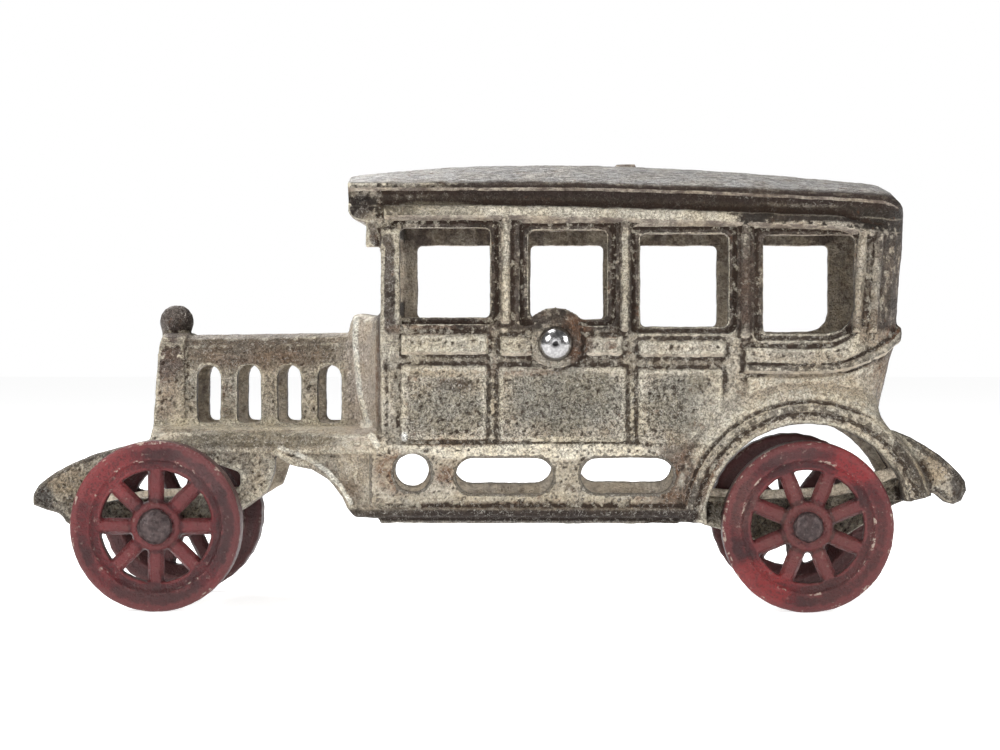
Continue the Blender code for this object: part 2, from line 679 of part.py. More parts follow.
def add_shell(casting):
    """Cabin, roof, hood, cowl and frame ledge as full outer forms."""
    cabin_levels = [(SILL_Z - 0.0004, 0.0)] + [(profile_z(share), 0.0) for share, _ in CABIN_REAR_PROFILE]
    cabin_levels.append((ROOF_BOTTOM_Z + 0.0007, 0.0006))
    casting.stage("UNION")
    casting.loft("cabin", [cabin_ring(z, inset) for z, inset in cabin_levels])
    foot = [(VISOR_X, 0.0017), (VISOR_X + 0.0009, 0.0005), (VISOR_X + 0.0023, 0.0)]
    straight_end = CABIN_REAR_X - CABIN_REAR_CORNER
    stations = foot + [(x, 0.0) for x in spread(VISOR_X + 0.0078, straight_end, 10)]
    stations += [(straight_end + CABIN_REAR_CORNER * share, 0.0)
                 for share in (0.31, 0.56, 0.76, 0.89, 0.965, 1.0)]
    casting.loft("roof", [roof_section(x, ROOF_BOTTOM_Z + lift) for x, lift in stations])
    casting.loft("hood", [hood_section(x, 0.0, x < COWL_X - 0.02)
                          for x in (NOSE_X, NOSE_X + 0.005, COWL_X, CABIN_FRONT_X + 0.0011)])
    casting.loft("radiator", [hood_section(NOSE_X - 0.0004, 0.0004, True),
                              hood_section(NOSE_X + 0.0055, 0.0004, False)])
    cowl = ((0.0, -0.008, -0.0036), (0.0004, 0.008, -0.0016), (0.0011, 0.048, -0.0001),
            (0.0023, 0.143, 0.0), (0.0037, 0.317, -0.0002), (0.0049, 0.540, -0.0004),
            (0.0059, 0.810, -0.0002), (0.0066, 0.976, 0.0006), (0.0080, 0.992, 0.0006))
    rings = []
    for dx, share, dz in cowl:
        top = COWL_TOP_Z + dz
        out = cowl_out(share)
        section = ((PAST_SEAM, top), (out - 0.0030, top - 0.0002), (out - 0.0009, top - 0.0012),
                   (out, top - 0.0032), (out, SILL_Z - 0.0008), (PAST_SEAM, SILL_Z - 0.0008))
        rings.append([(COWL_X + dx + cowl_rake(z) * (1 - dx / cowl[-1][0]), y, z) for y, z in section])
    casting.loft("cowl", rings)
    steps = [NOSE_X + (CABIN_FRONT_X + 0.0010 - NOSE_X) * step / 12 for step in range(13)]
    casting.loft("ledge", [ledge_section(x) for x in steps])


def add_cavities(casting):
    """Hollows the shell from the open underside."""
    casting.stage("DIFFERENCE")
    levels = [SILL_Z - 0.0090] + [profile_z(share) for share in (0.127, 0.369, 0.585)]
    levels.append(ROOF_BOTTOM_Z + 0.0007)
    casting.loft("cabin_cavity", [cabin_ring(z, WALL) for z in levels])
    casting.box("rear_underside", REAR_AXLE_X - 0.0030, CABIN_REAR_X + 0.0010, 2 * PAST_SEAM, PAST_SIDE,
                SILL_Z - 0.0020, SILL_Z + REAR_FLOOR_RISE)
    front, rear = CABIN_FRONT_X + WALL + 0.0003, CABIN_REAR_X - WALL - 0.0005
    xs = spread(front, rear - 0.0040, 10) + [rear]
    casting.loft("roof_cavity", [roof_cavity_section(x) for x in xs])
    casting.box("visor_cavity", VISOR_X + 0.0020, CABIN_FRONT_X - 0.0008, PAST_SEAM,
                ROOF_HALF_WIDTH - 0.0029, ROOF_BOTTOM_Z - 0.0020, ROOF_BOTTOM_Z + 0.0043)
    casting.box("hood_cavity", NOSE_X + WALL + 0.0020, CABIN_FRONT_X - 0.0005, PAST_SEAM,
                HOOD_HALF_WIDTH - WALL, SILL_Z - 0.0100, HOOD_TOP_Z - WALL - 0.0004)
    cowl = ((0.0022, -0.111), (0.0041, 0.111), (0.0055, 0.413), (0.0061, 0.540))
    casting.loft("cowl_cavity", [
        [(COWL_X + dx, PAST_SEAM, COWL_TOP_Z - 0.0028), (COWL_X + dx, cowl_out(share), COWL_TOP_Z - 0.0028),
         (COWL_X + dx, cowl_out(share), SILL_Z - 0.0090), (COWL_X + dx, PAST_SEAM, SILL_Z - 0.0090)]
        for dx, share in cowl])
    for index, (x0, x1, z0, z1, radius) in enumerate(window_edges(casting.side)):
        outline = window_outline(x0 - WINDOW_FRAME, x1 + WINDOW_FRAME, z0 - 0.0012,
                                 z1 + WINDOW_FRAME, radius + WINDOW_FRAME / 2, 2)
        casting.plate(f"window_recess_{index}", outline, CABIN_HALF_WIDTH - RECESS_DEPTH, PAST_SIDE)
    casting.rod("rear_arch", REAR_AXLE_X, AXLE_Z, (ARCH_RADIUS + FENDER_RADIUS) / 2, RAIL_OUTER + 0.0012,
                PAST_SIDE, 40)


def window_edges(side):
    """Front, rear, sill, head and rear radius of each side window, from the sizes above."""
    doors = LEFT_WINDOWS if side == LEFT else RIGHT_WINDOWS
    start, margin, sill, head, radius = LEFT_QUARTER_WINDOW if side == LEFT else RIGHT_QUARTER_WINDOW
    quarter_end = CABIN_REAR_X - margin - CABIN_FRONT_X
    return [(CABIN_FRONT_X + x0, CABIN_FRONT_X + x1, BELT_Z + above, ROOF_BOTTOM_Z - below, corner)
            for x0, x1, above, below, corner in doors + ((start, quarter_end, sill, head, radius),)]


def board_opening_edges(side):
    """Front, rear, foot and top of each opening in the running board."""
    first = LEFT_BOARD_OPENINGS if side == LEFT else RIGHT_BOARD_OPENINGS
    start, margin, foot, top = LEFT_LAST_OPENING if side == LEFT else RIGHT_LAST_OPENING
    last_end = REAR_AXLE_X - FENDER_RADIUS - margin - CABIN_FRONT_X
    return [(CABIN_FRONT_X + x0, CABIN_FRONT_X + x1, BOARD_BOTTOM_Z + low, BOARD_BOTTOM_Z + high)
            for x0, x1, low, high in first + ((start, last_end, foot, top),)]


def window_outline(x0, x1, z0, z1, radius, steps=3):
    corners = ((x0, z0, 0.0008), (x1, z0, radius), (x1, z1, 0.0008), (x0, z1, 0.0008))
    return round_corners(corners, steps)


def last_panel_outline():
    """Door panel whose lower rear part follows the fender arch."""
    start, end, above, below = LAST_DOOR_PANEL
    x0, x1, z0, z1 = REAR_AXLE_X - start, REAR_AXLE_X - end, SILL_Z + above, BELT_Z - below
    low = 180 - math.degrees(math.asin((z0 - AXLE_Z) / PANEL_ARCH_RADIUS))
    high = math.degrees(math.acos(-end / PANEL_ARCH_RADIUS))
    cut = arc(REAR_AXLE_X, AXLE_Z, PANEL_ARCH_RADIUS, low, high, 3)
    return round_corners([(x0, z0, 0.0008)] + [(x, z, 0.0) for x, z in cut]
                         + [(x1, z1, 0.0008), (x0, z1, 0.0008)], 2)


def add_frame(casting):
    """Running board, fender arch, rails, webs and horns."""
    casting.stage("UNION")
    casting.plate("board", board_outline(), BOARD_HALF_WIDTH - WALL, BOARD_HALF_WIDTH)
    casting.loft("fender", [fender_section(angle) for angle in FENDER_STATIONS])
    casting.plate("rear_rail", rear_rail_outline(), RAIL_INNER, RAIL_OUTER)
    front_foot = ((-0.0210, 0.0019), (-0.0176, 0.0001), (-0.0176, 0.0046), (-0.0207, 0.0052))
    rear_foot = ((0.0168, 0.0043), (0.0205, 0.0056), (0.0199, 0.0092), (0.0162, 0.0076))
    for label, corners in (("front_foot", front_foot), ("rear_foot", rear_foot)):
        outline = [(REAR_AXLE_X + dx, AXLE_Z + dz) for dx, dz in corners]
        casting.plate(label, outline, RAIL_INNER + 0.0004, FENDER_HALF_WIDTH - 0.0006)
    casting.plate("rear_horn", rear_horn_outline(), FENDER_HALF_WIDTH - 0.0066,
                  FENDER_HALF_WIDTH - 0.0026, 0.0008)
    casting.plate("front_web", front_web_outline(), RAIL_INNER, RAIL_OUTER, 0.0004)
    rings = []
    for x, z in apron_edge():
        out = ledge_out(x) - 0.0004
        rings.append([(x, out, z), (x, out, SILL_Z - 0.0002), (x, out - WALL, SILL_Z - 0.0002),
                      (x, out - WALL, z)])
    casting.loft("apron", rings)
    roll = [(x, ledge_out(x) - 0.0003, z + 0.0006) for x, z in apron_edge()[1:]]
    casting.tube("apron_roll", roll, 0.0008)
    board_front = CABIN_FRONT_X - 0.0035
    board_rear = REAR_AXLE_X - FENDER_RADIUS + 0.0006
    foot_outline = rectangle(board_front, board_rear, BOARD_BOTTOM_Z + 0.0001, BOARD_BOTTOM_Z + 0.0018,
                             0.0003, 1)
    casting.plate("board_foot", foot_outline, BOARD_HALF_WIDTH - 0.0010, BOARD_HALF_WIDTH + 0.0005, 0.0003)
    lip = ((board_front + 0.0025, BOARD_BOTTOM_Z + 0.0010), (board_front + 0.0035, BOARD_BOTTOM_Z - 0.0011),
           (board_rear - 0.0018, BOARD_BOTTOM_Z - 0.0011), (board_rear - 0.0008, BOARD_BOTTOM_Z + 0.0010))
    casting.plate("board_lip", lip, BOARD_HALF_WIDTH - 0.0030, BOARD_HALF_WIDTH - 0.0012)
    for label, x in (("front_bearing", FRONT_AXLE_X), ("rear_bearing", REAR_AXLE_X)):
        casting.rod(label, x, AXLE_Z, BORE_RADIUS + 0.0014, RAIL_INNER - 0.0008, RAIL_OUTER + 0.0002)


def add_mouldings(casting):
    """Raised panels and rolls on the cabin side, the rivet pad and the radiator cap."""
    side = CABIN_HALF_WIDTH
    for index, (start, end, below, under) in enumerate(BELT_PANELS):
        outline = rectangle(CABIN_FRONT_X + start, CABIN_FRONT_X + end, BELT_Z - below, BELT_Z - under,
                            0.0007, 2)
        casting.plate(f"belt_panel_{index}", outline, side - 0.0008, side + PILLOW_HEIGHT, 0.0005)
    panels = [rectangle(CABIN_FRONT_X + start, CABIN_FRONT_X + end, SILL_Z + above, BELT_Z - below, 0.0008, 2)
              for start, end, above, below in DOOR_PANELS]
    panels.append(last_panel_outline())
    for index, outline in enumerate(panels):
        casting.plate(f"door_panel_{index}", outline, side - 0.0008, side + DOOR_PANEL_HEIGHT, 0.0004)
    casting.band("belt_panel_last", BELT_BAND, PILLOW_HEIGHT)
    casting.band("rear_quarter_panel", QUARTER_BAND, DOOR_PANEL_HEIGHT)
    windows = window_edges(casting.side)
    for index, start in enumerate(PILLAR_ROLLS):
        x = CABIN_FRONT_X + start
        foot_z = windows[index + 1][2] - 0.0006
        casting.tube(f"pillar_roll_{index}", [(x, side - 0.0001, foot_z), (x, side - 0.0001, cornice_z(x))],
                     PILLAR_ROLL_RADIUS, 2)
    xs = spread(CABIN_FRONT_X + 0.0006, CABIN_REAR_X - 0.0120, 9)
    path = [(x, side + 0.0001, cornice_z(x)) for x in xs]
    path += [corner_point(angle, ROOF_BOTTOM_Z - 0.0015, -0.0004) for angle in (72, 50)]
    casting.tube("cornice", path, CORNICE_RADIUS, 2, [1.0] * len(xs) + [0.9, 0.6])
    side_run = ((0.0284, 0.0067), (0.0181, 0.0069), (0.0134, 0.0067), (0.0104, 0.0062))
    path = [(CABIN_REAR_X - ahead, side + 0.0001, BELT_Z - below) for ahead, below in side_run]
    path += [corner_point(angle, BELT_Z - below, -0.0001)
             for angle, below in ((62, 0.0049), (42, 0.0034), (18, 0.0015))]
    path += [corner_point(0, BELT_Z - 0.0004, -0.0004), (rear_wall_x(BELT_Z), PAST_SEAM, BELT_Z - 0.0002)]
    casting.tube("belt_roll", path, BELT_ROLL_RADIUS, 2, (1.0, 1.0, 1.0, 1.0, 1.1, 1.3, 1.7, 2.0, 1.5))
    for index, angle in enumerate((82, 62)):
        roll = [corner_point(angle, z, -0.0001) for z in spread(BELT_Z - 0.0002, ROOF_BOTTOM_Z - 0.0019, 3)]
        casting.tube(f"rear_pillar_roll_{index}", roll, PILLAR_ROLL_RADIUS, 2)
    casting.rod("rivet_boss", RIVET_X, RIVET_Z, RIVET_BOSS_RADIUS, PAST_SEAM, side - 0.0010)
    casting.box("visor_bracket", CABIN_FRONT_X - 0.0026, CABIN_FRONT_X + 0.0004, side - 0.0024, side - 0.0003,
                ROOF_BOTTOM_Z - 0.0044, ROOF_BOTTOM_Z + 0.0004)
    casting.turned_knob("radiator_cap", NOSE_X + RADIATOR_CAP_SETBACK,
                        [(radius, HOOD_TOP_Z + z) for radius, z in RADIATOR_CAP])
    if casting.side == RIGHT:
        top = roof_centre_z(GATE_STUB_X)
        casting.box("gate_stub", GATE_STUB_X - GATE_STUB_SIZE / 2, GATE_STUB_X + GATE_STUB_SIZE / 2,
                    PAST_SEAM, GATE_STUB_SIZE * 0.45, top - WALL / 2, top + 0.0006)


def half_window(half_width, foot, head):
    """Half of an opening across the car, with its corners cut off."""
    corner = min(0.0010, 0.3 * (head - foot))
    return ((PAST_SEAM, foot), (half_width - corner, foot), (half_width, foot + corner),
            (half_width, head - corner), (half_width - corner, head), (PAST_SEAM, head))


def add_openings(casting):
    """Windows, louvres, holes, bores and the cut along the centre plane."""
    casting.stage("DIFFERENCE")
    for index, (x0, x1, z0, z1, radius) in enumerate(window_edges(casting.side)):
        casting.plate(f"window_{index}", window_outline(x0, x1, z0, z1, radius), WALL_INSIDE, PAST_SIDE)
    for index, (x0, x1, z0, z1) in enumerate(board_opening_edges(casting.side)):
        outline = rectangle(x0, x1, z0, z1, (z1 - z0) * 0.62, 5)
        casting.plate(f"board_opening_{index}", outline, WALL_INSIDE, PAST_SIDE)
    foot = SILL_Z + LOUVRE_FOOT_RISE
    head = foot + LOUVRE_HEIGHT
    starts = spread(NOSE_X + LOUVRE_NOSE_MARGIN, COWL_X - LOUVRE_COWL_MARGIN - LOUVRE_WIDTH, LOUVRE_COUNT)
    for index, x0 in enumerate(starts):
        x1 = x0 + LOUVRE_WIDTH
        corners = ((x0, foot, 0.0009), (x1, foot, 0.0009),
                   (x1, head, LOUVRE_WIDTH * 0.6), (x0, head, LOUVRE_WIDTH * 0.6))
        casting.plate(f"louvre_{index}", round_corners(corners, 3), HOOD_HALF_WIDTH / 2,
                      HOOD_HALF_WIDTH + 0.0030)
    casting.plate("front_slot", front_slot_outline(), RAIL_INNER - 0.0010, RAIL_OUTER + 0.0010)
    for label, x in (("front_bore", FRONT_AXLE_X), ("rear_bore", REAR_AXLE_X)):
        casting.rod(label, x, AXLE_Z, BORE_RADIUS, RAIL_INNER - 0.0020, RAIL_OUTER + 0.0020)
    screen = half_window(CABIN_HALF_WIDTH - SCREEN_MARGIN, COWL_TOP_Z + 0.0022, ROOF_BOTTOM_Z - 0.0023)
    casting.loft("windscreen", [[(CABIN_FRONT_X + dx, out, z) for out, z in screen]
                                for dx in (-0.0020, WALL + 0.0020)])
    rear = half_window(REAR_WINDOW_HALF_WIDTH, BELT_Z + REAR_WINDOW_SILL, ROOF_BOTTOM_Z - REAR_WINDOW_HEAD)
    casting.loft("rear_window", [[(CABIN_REAR_X + dx, out, z) for out, z in rear]
                                 for dx in (-WALL - 0.0020, 0.0020)])
    panel = half_window(HOOD_HALF_WIDTH - WALL, SILL_Z + 0.0030, HOOD_TOP_Z - 0.0029)
    casting.loft("radiator_panel", [[(NOSE_X + dx + nose_lean(z), out, z) for out, z in panel]
                                    for dx in (-0.0030, 0.0003)])
    casting.stage("UNION")
    casting.rod("rivet_pad", RIVET_X, RIVET_Z, RIVET_PAD_RADIUS + 0.0010, CABIN_HALF_WIDTH - 0.0010,
                RIVET_SEAT, 20, RIVET_PAD_FACE_RADIUS)
    casting.stage("DIFFERENCE")
    casting.rod("rivet_bore", RIVET_X, RIVET_Z, RIVET_RADIUS + RUNNING_CLEARANCE, 2 * PAST_SEAM,
                PAST_SIDE, 16)
    casting.box("seam", NOSE_X - 0.0400, CABIN_REAR_X + 0.0400, -PAST_SIDE, SEAM_GAP / 2, 0.0,
                ROOF_TOP_Z + 0.0200)


def make_half(name, side, material):
    casting = HalfCasting(name, side)
    add_shell(casting)
    add_cavities(casting)
    add_frame(casting)
    add_mouldings(casting)
    add_openings(casting)
    return casting.finish(material)


def turned(name, profile, steps, collection=CUTTERS, closed=True):
    """A solid turned about Z from (radius, height) points that run down its outer side."""
    mesh = bpy.data.meshes.new(name)
    edges = [(i, i + 1) for i in range(len(profile) - 1)]
    if closed:
        edges.append((len(profile) - 1, 0))
    mesh.from_pydata([(radius, 0, height) for radius, height in profile], edges, [])
    solid = make_object(name, mesh, collection)
    screw = solid.modifiers.new("turned", "SCREW")
    screw.axis = "Z"
    screw.steps = steps
    screw.render_steps = steps
    screw.use_merge_vertices = True
    screw.merge_threshold = 0.00001
    return solid


def bake(solid, matrix=None):
    """Replaces an object's mesh by what its modifiers make of it."""
    depsgraph = bpy.context.evaluated_depsgraph_get()
    mesh = bpy.data.meshes.new_from_object(solid.evaluated_get(depsgraph))
    solid.modifiers.clear()
    bm = bmesh.new()
    bm.from_mesh(mesh)
    bmesh.ops.remove_doubles(bm, verts=bm.verts, dist=0.000001)
    if matrix is not None:
        bm.transform(matrix)
    bmesh.ops.recalc_face_normals(bm, faces=bm.faces)
    bm.to_mesh(mesh)
    bm.free()
    solid.data = mesh
    return solid


def wheel_mesh():
    """One cast wheel about Z: broad rim with a stepped band, hub and tapered spokes."""
    half = WHEEL_WIDTH / 2
    rim = turned("rim", (
        (RIM_INNER_RADIUS, half - 0.0011), (RIM_BAND_RADIUS - 0.0001, half - 0.0008),
        (RIM_BAND_RADIUS + 0.0002, half - 0.0002), (WHEEL_RADIUS - 0.0006, half),
        (WHEEL_RADIUS, half - 0.0005), (WHEEL_RADIUS, -half + 0.0005), (WHEEL_RADIUS - 0.0005, -half),
        (RIM_BAND_RADIUS + 0.0005, -half), (RIM_INNER_RADIUS, -half + 0.0026)), 32)
    bake(rim)
    hub = turned("hub", (
        (BORE_RADIUS, half - HUB_SETBACK), (HUB_RADIUS - 0.0006, half - HUB_SETBACK),
        (HUB_RADIUS, half - HUB_SETBACK - 0.0006),
        (HUB_RADIUS, -half), (BORE_RADIUS, -half)), 16)
    bake(hub)
    spokes = make_collection("wheel_tools")
    spokes.objects.link(hub)
    CUTTERS.objects.unlink(hub)
    mark_as_tool(hub)
    start = (BORE_RADIUS + HUB_RADIUS) / 2
    end = (RIM_INNER_RADIUS + RIM_BAND_RADIUS) / 2
    for index in range(SPOKE_COUNT):
        bm = bmesh.new()
        bmesh.ops.create_cone(bm, cap_ends=True, segments=6, radius1=0.54, radius2=0.50, depth=1)
        scale = Matrix.Diagonal((SPOKE_DEPTH, SPOKE_WIDTH, end - start, 1))
        lay = Matrix.Rotation(math.radians(90), 4, "Y")
        shift = Matrix.Translation(((start + end) / 2, 0, half - 0.0009 - SPOKE_DEPTH / 2))
        turn = Matrix.Rotation(math.tau * index / SPOKE_COUNT, 4, "Z")
        bm.transform(turn @ shift @ lay @ scale)
        mark_as_tool(make_object(f"spoke_{index}", mesh_from_bmesh("spoke", bm), spokes))
    join = rim.modifiers.new("hub_and_spokes", "BOOLEAN")
    join.operation = "UNION"
    join.operand_type = "COLLECTION"
    join.collection = spokes
    join.solver = "EXACT"
    bake(rim)
    mesh = rim.data
    bpy.data.objects.remove(rim, do_unlink=True)
    mesh.shade_smooth()
    mesh.set_sharp_from_angle(angle=math.radians(35))
    return mesh


def place_wheels(material):
    """Wheel axis Z is laid across the car, with the detailed face outwards."""
    mesh = wheel_mesh()
    mesh.materials.clear()
    mesh.materials.append(material)
    centre = WHEEL_OUTER_FACE - WHEEL_WIDTH / 2
    for label, x, turns in (("front", FRONT_AXLE_X, FRONT_WHEEL_TURNS),
                            ("rear", REAR_AXLE_X, REAR_WHEEL_TURNS)):
        for name, side, turn in (("left", LEFT, turns[0]), ("right", RIGHT, turns[1])):
            wheel = bpy.data.objects.new(f"{label}_wheel_{name}", mesh)
            PARTS.objects.link(wheel)
            wheel.location = (x, side * centre, AXLE_Z)
            spin = Matrix.Rotation(math.radians(-turn), 4, "Y")
            lay = Matrix.Rotation(math.radians(90) * -side, 4, "X")
            wheel.rotation_euler = (spin @ lay).to_euler()


def headed_bar(name, location, radius, head_radius, head_height, seat, material):
    """A bar across the car with a domed head on each end, under which it is plain."""
    dome = [(head_radius * math.sin(math.radians(a)), seat + head_height * math.cos(math.radians(a)))
            for a in (0, 18, 36, 54, 72, 90)]
    far_dome = [(r, -h) for r, h in reversed(dome)]
    profile = dome + [(radius, seat), (radius, -seat)] + far_dome
    bar = turned(name, profile, 20, PARTS, closed=False)
    bake(bar)
    bar.data.materials.clear()
    bar.data.materials.append(material)
    bar.data.shade_smooth()
    bar.data.set_sharp_from_angle(angle=math.radians(35))
    bar.location = location
    bar.rotation_euler = (math.radians(90), 0, 0)
    return bar


def main():
    nickel = make_material("worn_nickel", (0.36, 0.34, 0.27), 0.7, 0.45)
    red = make_material("worn_red_paint", (0.17, 0.035, 0.04), 0.2, 0.5)
    iron = make_material("dark_iron", (0.08, 0.06, 0.06), 0.8, 0.45)
    steel = make_material("polished_steel", (0.55, 0.55, 0.56), 1.0, 0.15)
    make_half("body_left", LEFT, nickel)
    make_half("body_right", RIGHT, nickel.copy())
    place_wheels(red)
    axle_seat = WHEEL_OUTER_FACE - HUB_SETBACK + SEAT_GAP
    headed_bar("front_axle", (FRONT_AXLE_X, 0, AXLE_Z), AXLE_RADIUS, FRONT_HEAD_RADIUS, HEAD_HEIGHT,
               axle_seat, iron)
    headed_bar("rear_axle", (REAR_AXLE_X, 0, AXLE_Z), AXLE_RADIUS, REAR_HEAD_RADIUS, HEAD_HEIGHT,
               axle_seat, iron.copy())
    headed_bar("centre_rivet", (RIVET_X, 0, RIVET_Z), RIVET_RADIUS, RIVET_HEAD_RADIUS, RIVET_HEAD_HEIGHT,
               RIVET_SEAT + SEAT_GAP, steel)


main()
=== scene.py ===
"""Looks of the cast iron toy taxi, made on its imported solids.

Metres, +Z up, front towards -X, left side towards -Y. The body halves, wheels and axles are softened and
roughened copies of their solids, the rivet is turned anew, and each metal has its own worn finish.
"""
import math

import bmesh
import bpy
import numpy as np
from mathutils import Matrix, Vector


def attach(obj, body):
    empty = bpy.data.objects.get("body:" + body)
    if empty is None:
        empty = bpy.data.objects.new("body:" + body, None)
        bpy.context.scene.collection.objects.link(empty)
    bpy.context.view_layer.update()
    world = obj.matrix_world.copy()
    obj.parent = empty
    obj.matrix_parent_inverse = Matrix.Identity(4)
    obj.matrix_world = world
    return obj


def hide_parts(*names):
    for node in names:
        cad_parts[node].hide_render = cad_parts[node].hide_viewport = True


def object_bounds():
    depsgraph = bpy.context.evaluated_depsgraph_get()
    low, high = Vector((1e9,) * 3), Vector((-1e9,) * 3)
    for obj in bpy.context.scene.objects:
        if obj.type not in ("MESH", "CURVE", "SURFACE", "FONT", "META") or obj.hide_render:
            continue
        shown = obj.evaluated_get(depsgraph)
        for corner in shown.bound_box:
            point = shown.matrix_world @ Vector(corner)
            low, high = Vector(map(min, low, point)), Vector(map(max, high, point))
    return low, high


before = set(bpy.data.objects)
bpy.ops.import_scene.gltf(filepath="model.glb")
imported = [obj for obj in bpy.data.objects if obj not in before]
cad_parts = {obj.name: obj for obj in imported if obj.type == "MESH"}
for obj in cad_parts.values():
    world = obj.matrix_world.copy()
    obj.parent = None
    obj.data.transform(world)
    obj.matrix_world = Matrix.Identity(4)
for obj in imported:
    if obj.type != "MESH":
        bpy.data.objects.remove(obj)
cad_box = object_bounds()

# Sizes repeated from the solids
FRONT_AXLE_X = -0.0596
REAR_AXLE_X = 0.0546
AXLE_Z = 0.0150
CABIN_SIDE = 0.0246
RIVET_X = 0.0105
RIVET_Z = 0.0470
RIVET_SEAT = 0.0256
RIVET_RADIUS = 0.0016
RIVET_HEAD_RADIUS = 0.0031
RIVET_HEAD_HEIGHT = 0.0025
RIM_SIDES = 32
HUB_SIDES = 16

# The cornice's height, and how far it falls towards the rear
CORNICE_Z = 0.0701
CORNICE_FALL = 0.0022
CORNICE_LENGTH = 0.067

# Bands above and below the cornice: lowest and highest level
CORNICE_BAND = (-0.0013, 0.0010)
ROOF_SIDE = (0.0010, 0.0052)
DRIP_EDGE = (0.0028, 0.0054)

# Stretches of the body along X and up Z
PILLAR_ROLLS = (0.0018, 0.0226, 0.0437)
DOORS = ((-0.0160, 0.0330), (0.0290, 0.0412))
BOARD = ((-0.0225, 0.0345), (0.0190, 0.0278))
HOOD_FOOT = ((-0.0600, -0.0262), (0.0275, 0.0345))
COWL = (-0.0275, -0.0208)
BOARD_FOOT = (-0.0265, 0.0350)
BOARD_LIP = (-0.0262, 0.0262)

# Bands round the rear wheel arch, by distance from the axle
ARCH_BEAD = (0.0200, 0.0213)
ARCH_CREST = (0.0222, 0.0242)
ARCH_FLARE = (0.0222, 0.0275)

# Ridges in side view, through (x, z)
ARCH_RIDGE = ((-0.0383, 0.0286), (-0.0343, 0.0272), (-0.0320, 0.0261), (-0.0294, 0.0244), (-0.0273, 0.0222),
              (-0.0253, 0.0192))
BELT_ROLL = ((0.0436, 0.0427), (0.0539, 0.0425), (0.0586, 0.0427), (0.0616, 0.0432), (0.0672, 0.0445),
             (0.0697, 0.0460), (0.0716, 0.0479))
COWL_RIDGE = ((-0.0250, 0.0512), (-0.0251, 0.0476), (-0.0247, 0.0420), (-0.0240, 0.0370), (-0.0227, 0.0325),
              (-0.0207, 0.0292))

# Forms worked into the body halves. Spans give where each starts, is full, fades and ends.
MOULDING_GAIN = 1.3
MOULDING_TOP = (0.0500, 0.0510)
RIDGE_HEIGHT = 0.00045
HOOD_ROLL_Z = 0.0317
HOOD_ROLL_HEIGHT = 0.00040
HOOD_ROLL_SPAN = (-0.0600, -0.0560, -0.0290, -0.0265)
PILLAR_X = -0.0184
PILLAR_HALF_WIDTH = 0.0018
PILLAR_BULGE = 0.0007
PILLAR_SPAN = (0.0425, 0.0465, 0.0665, 0.0680)
PILLAR_INNER_Y = 0.022
HORN_TIP = (-0.0815, -0.0760)
HORN_GROWTH = 0.00045

# Forms worked into the wheels, by radius
RIM_TREAD = (0.0122, 0.0130)
HUB_SPAN = (0.0030, 0.0036, 0.0050, 0.0056)
HUB_JOINT = (0.0034, 0.0042, 0.0054, 0.0062)
RIM_JOINT = (0.0092, 0.0100, 0.0118, 0.0124)
SPOKE_SPAN = (0.0044, 0.0052, 0.0098, 0.0106)
SPOKE_SWELL = 0.00014

# Spacing of the faces on the softened castings, and size and height of their lumps and grain
BODY_GRID = 0.0003
BODY_LUMPS = (0.0045, 0.00026)
BODY_GRAIN = (0.0011, 0.00013)
WHEEL_GRID = 0.00022
WHEEL_LUMPS = (0.0030, 0.00014)
WHEEL_GRAIN = (0.0009, 0.00007)
HAMMER_MARKS = (0.0014, 0.00030)
HAMMER_GRAIN = (0.0005, 0.00006)

# How far round a point its near and far surroundings reach
NEAR_REACH = 0.0005
FAR_REACH = 0.0014

# Light of the white studio
STUDIO_LIGHT = 0.19
PAPER_GLOW = 0.81
FLOOR_REACH = 3.0
# The photo's viewpoint: lens in mm, place, and turns in degrees
PHOTO_LENS = 123.77
PHOTO_PLACE = (0.0104, -0.6255, 0.0494)
PHOTO_TURNS = (89.25, 0, 0.916)
# Name, place, aim, watts, width and height
SOFT_LIGHTS = (
    ("left_softbox", (-0.50, -0.50, 0.42), (0, 0, 0.04), 4.2, 0.24, 0.28),
    ("right_softbox", (0.62, -0.30, 0.34), (0, 0, 0.04), 2.8, 0.24, 0.32),
    ("front_softbox", (0.05, -1.10, 0.30), (0, 0, 0.04), 1.2, 0.90, 0.40),
    ("overhead_softbox", (-0.20, 0.05, 0.75), (0, 0, 0), 5.5, 0.40, 0.30),
    ("back_softbox", (-0.30, 0.80, 0.45), (0, 0, 0.04), 2.0, 0.50, 0.40),
)

# Colours of the plate, of what has worn or gathered on it, and of painted light and shade on it
BRIGHT_PLATE, DULL_PLATE = (0.590, 0.520, 0.420), (0.430, 0.390, 0.325)
PLATE_STAIN, DARK_STAIN = (0.170, 0.130, 0.090), (0.110, 0.080, 0.056)
ROOF_SIDE_IRON, ROOF_SIDE_WORN = (0.012, 0.010, 0.010), (0.040, 0.032, 0.029)
FRAME_IRON, FRAME_WORN = (0.036, 0.029, 0.027), (0.135, 0.110, 0.095)
ROOF_TOP_DARK, ROOF_TOP_PALE = (0.180, 0.168, 0.161), (0.600, 0.583, 0.570)
RUST = (0.165, 0.078, 0.040)
# Dirt with painted shade in the hollows, a paler tone in the door hollows, and painted shade in the creases
HOLLOW_DIRT_AND_SHADE, DOOR_DIRT, CREVICE_SHADE = (0.075, 0.055, 0.043), (0.500, 0.450, 0.350), (0.040, 0.026, 0.020)
# Ridges and chips, worn metal with painted highlights, and the painted highlight on the arch's crest
RIDGE_WEAR_AND_HIGHLIGHT, CHIP_AND_HIGHLIGHT_METAL, CREST_HIGHLIGHT = (0.62, 0.57, 0.47), (0.85, 0.82, 0.74), (0.640, 0.600, 0.500)
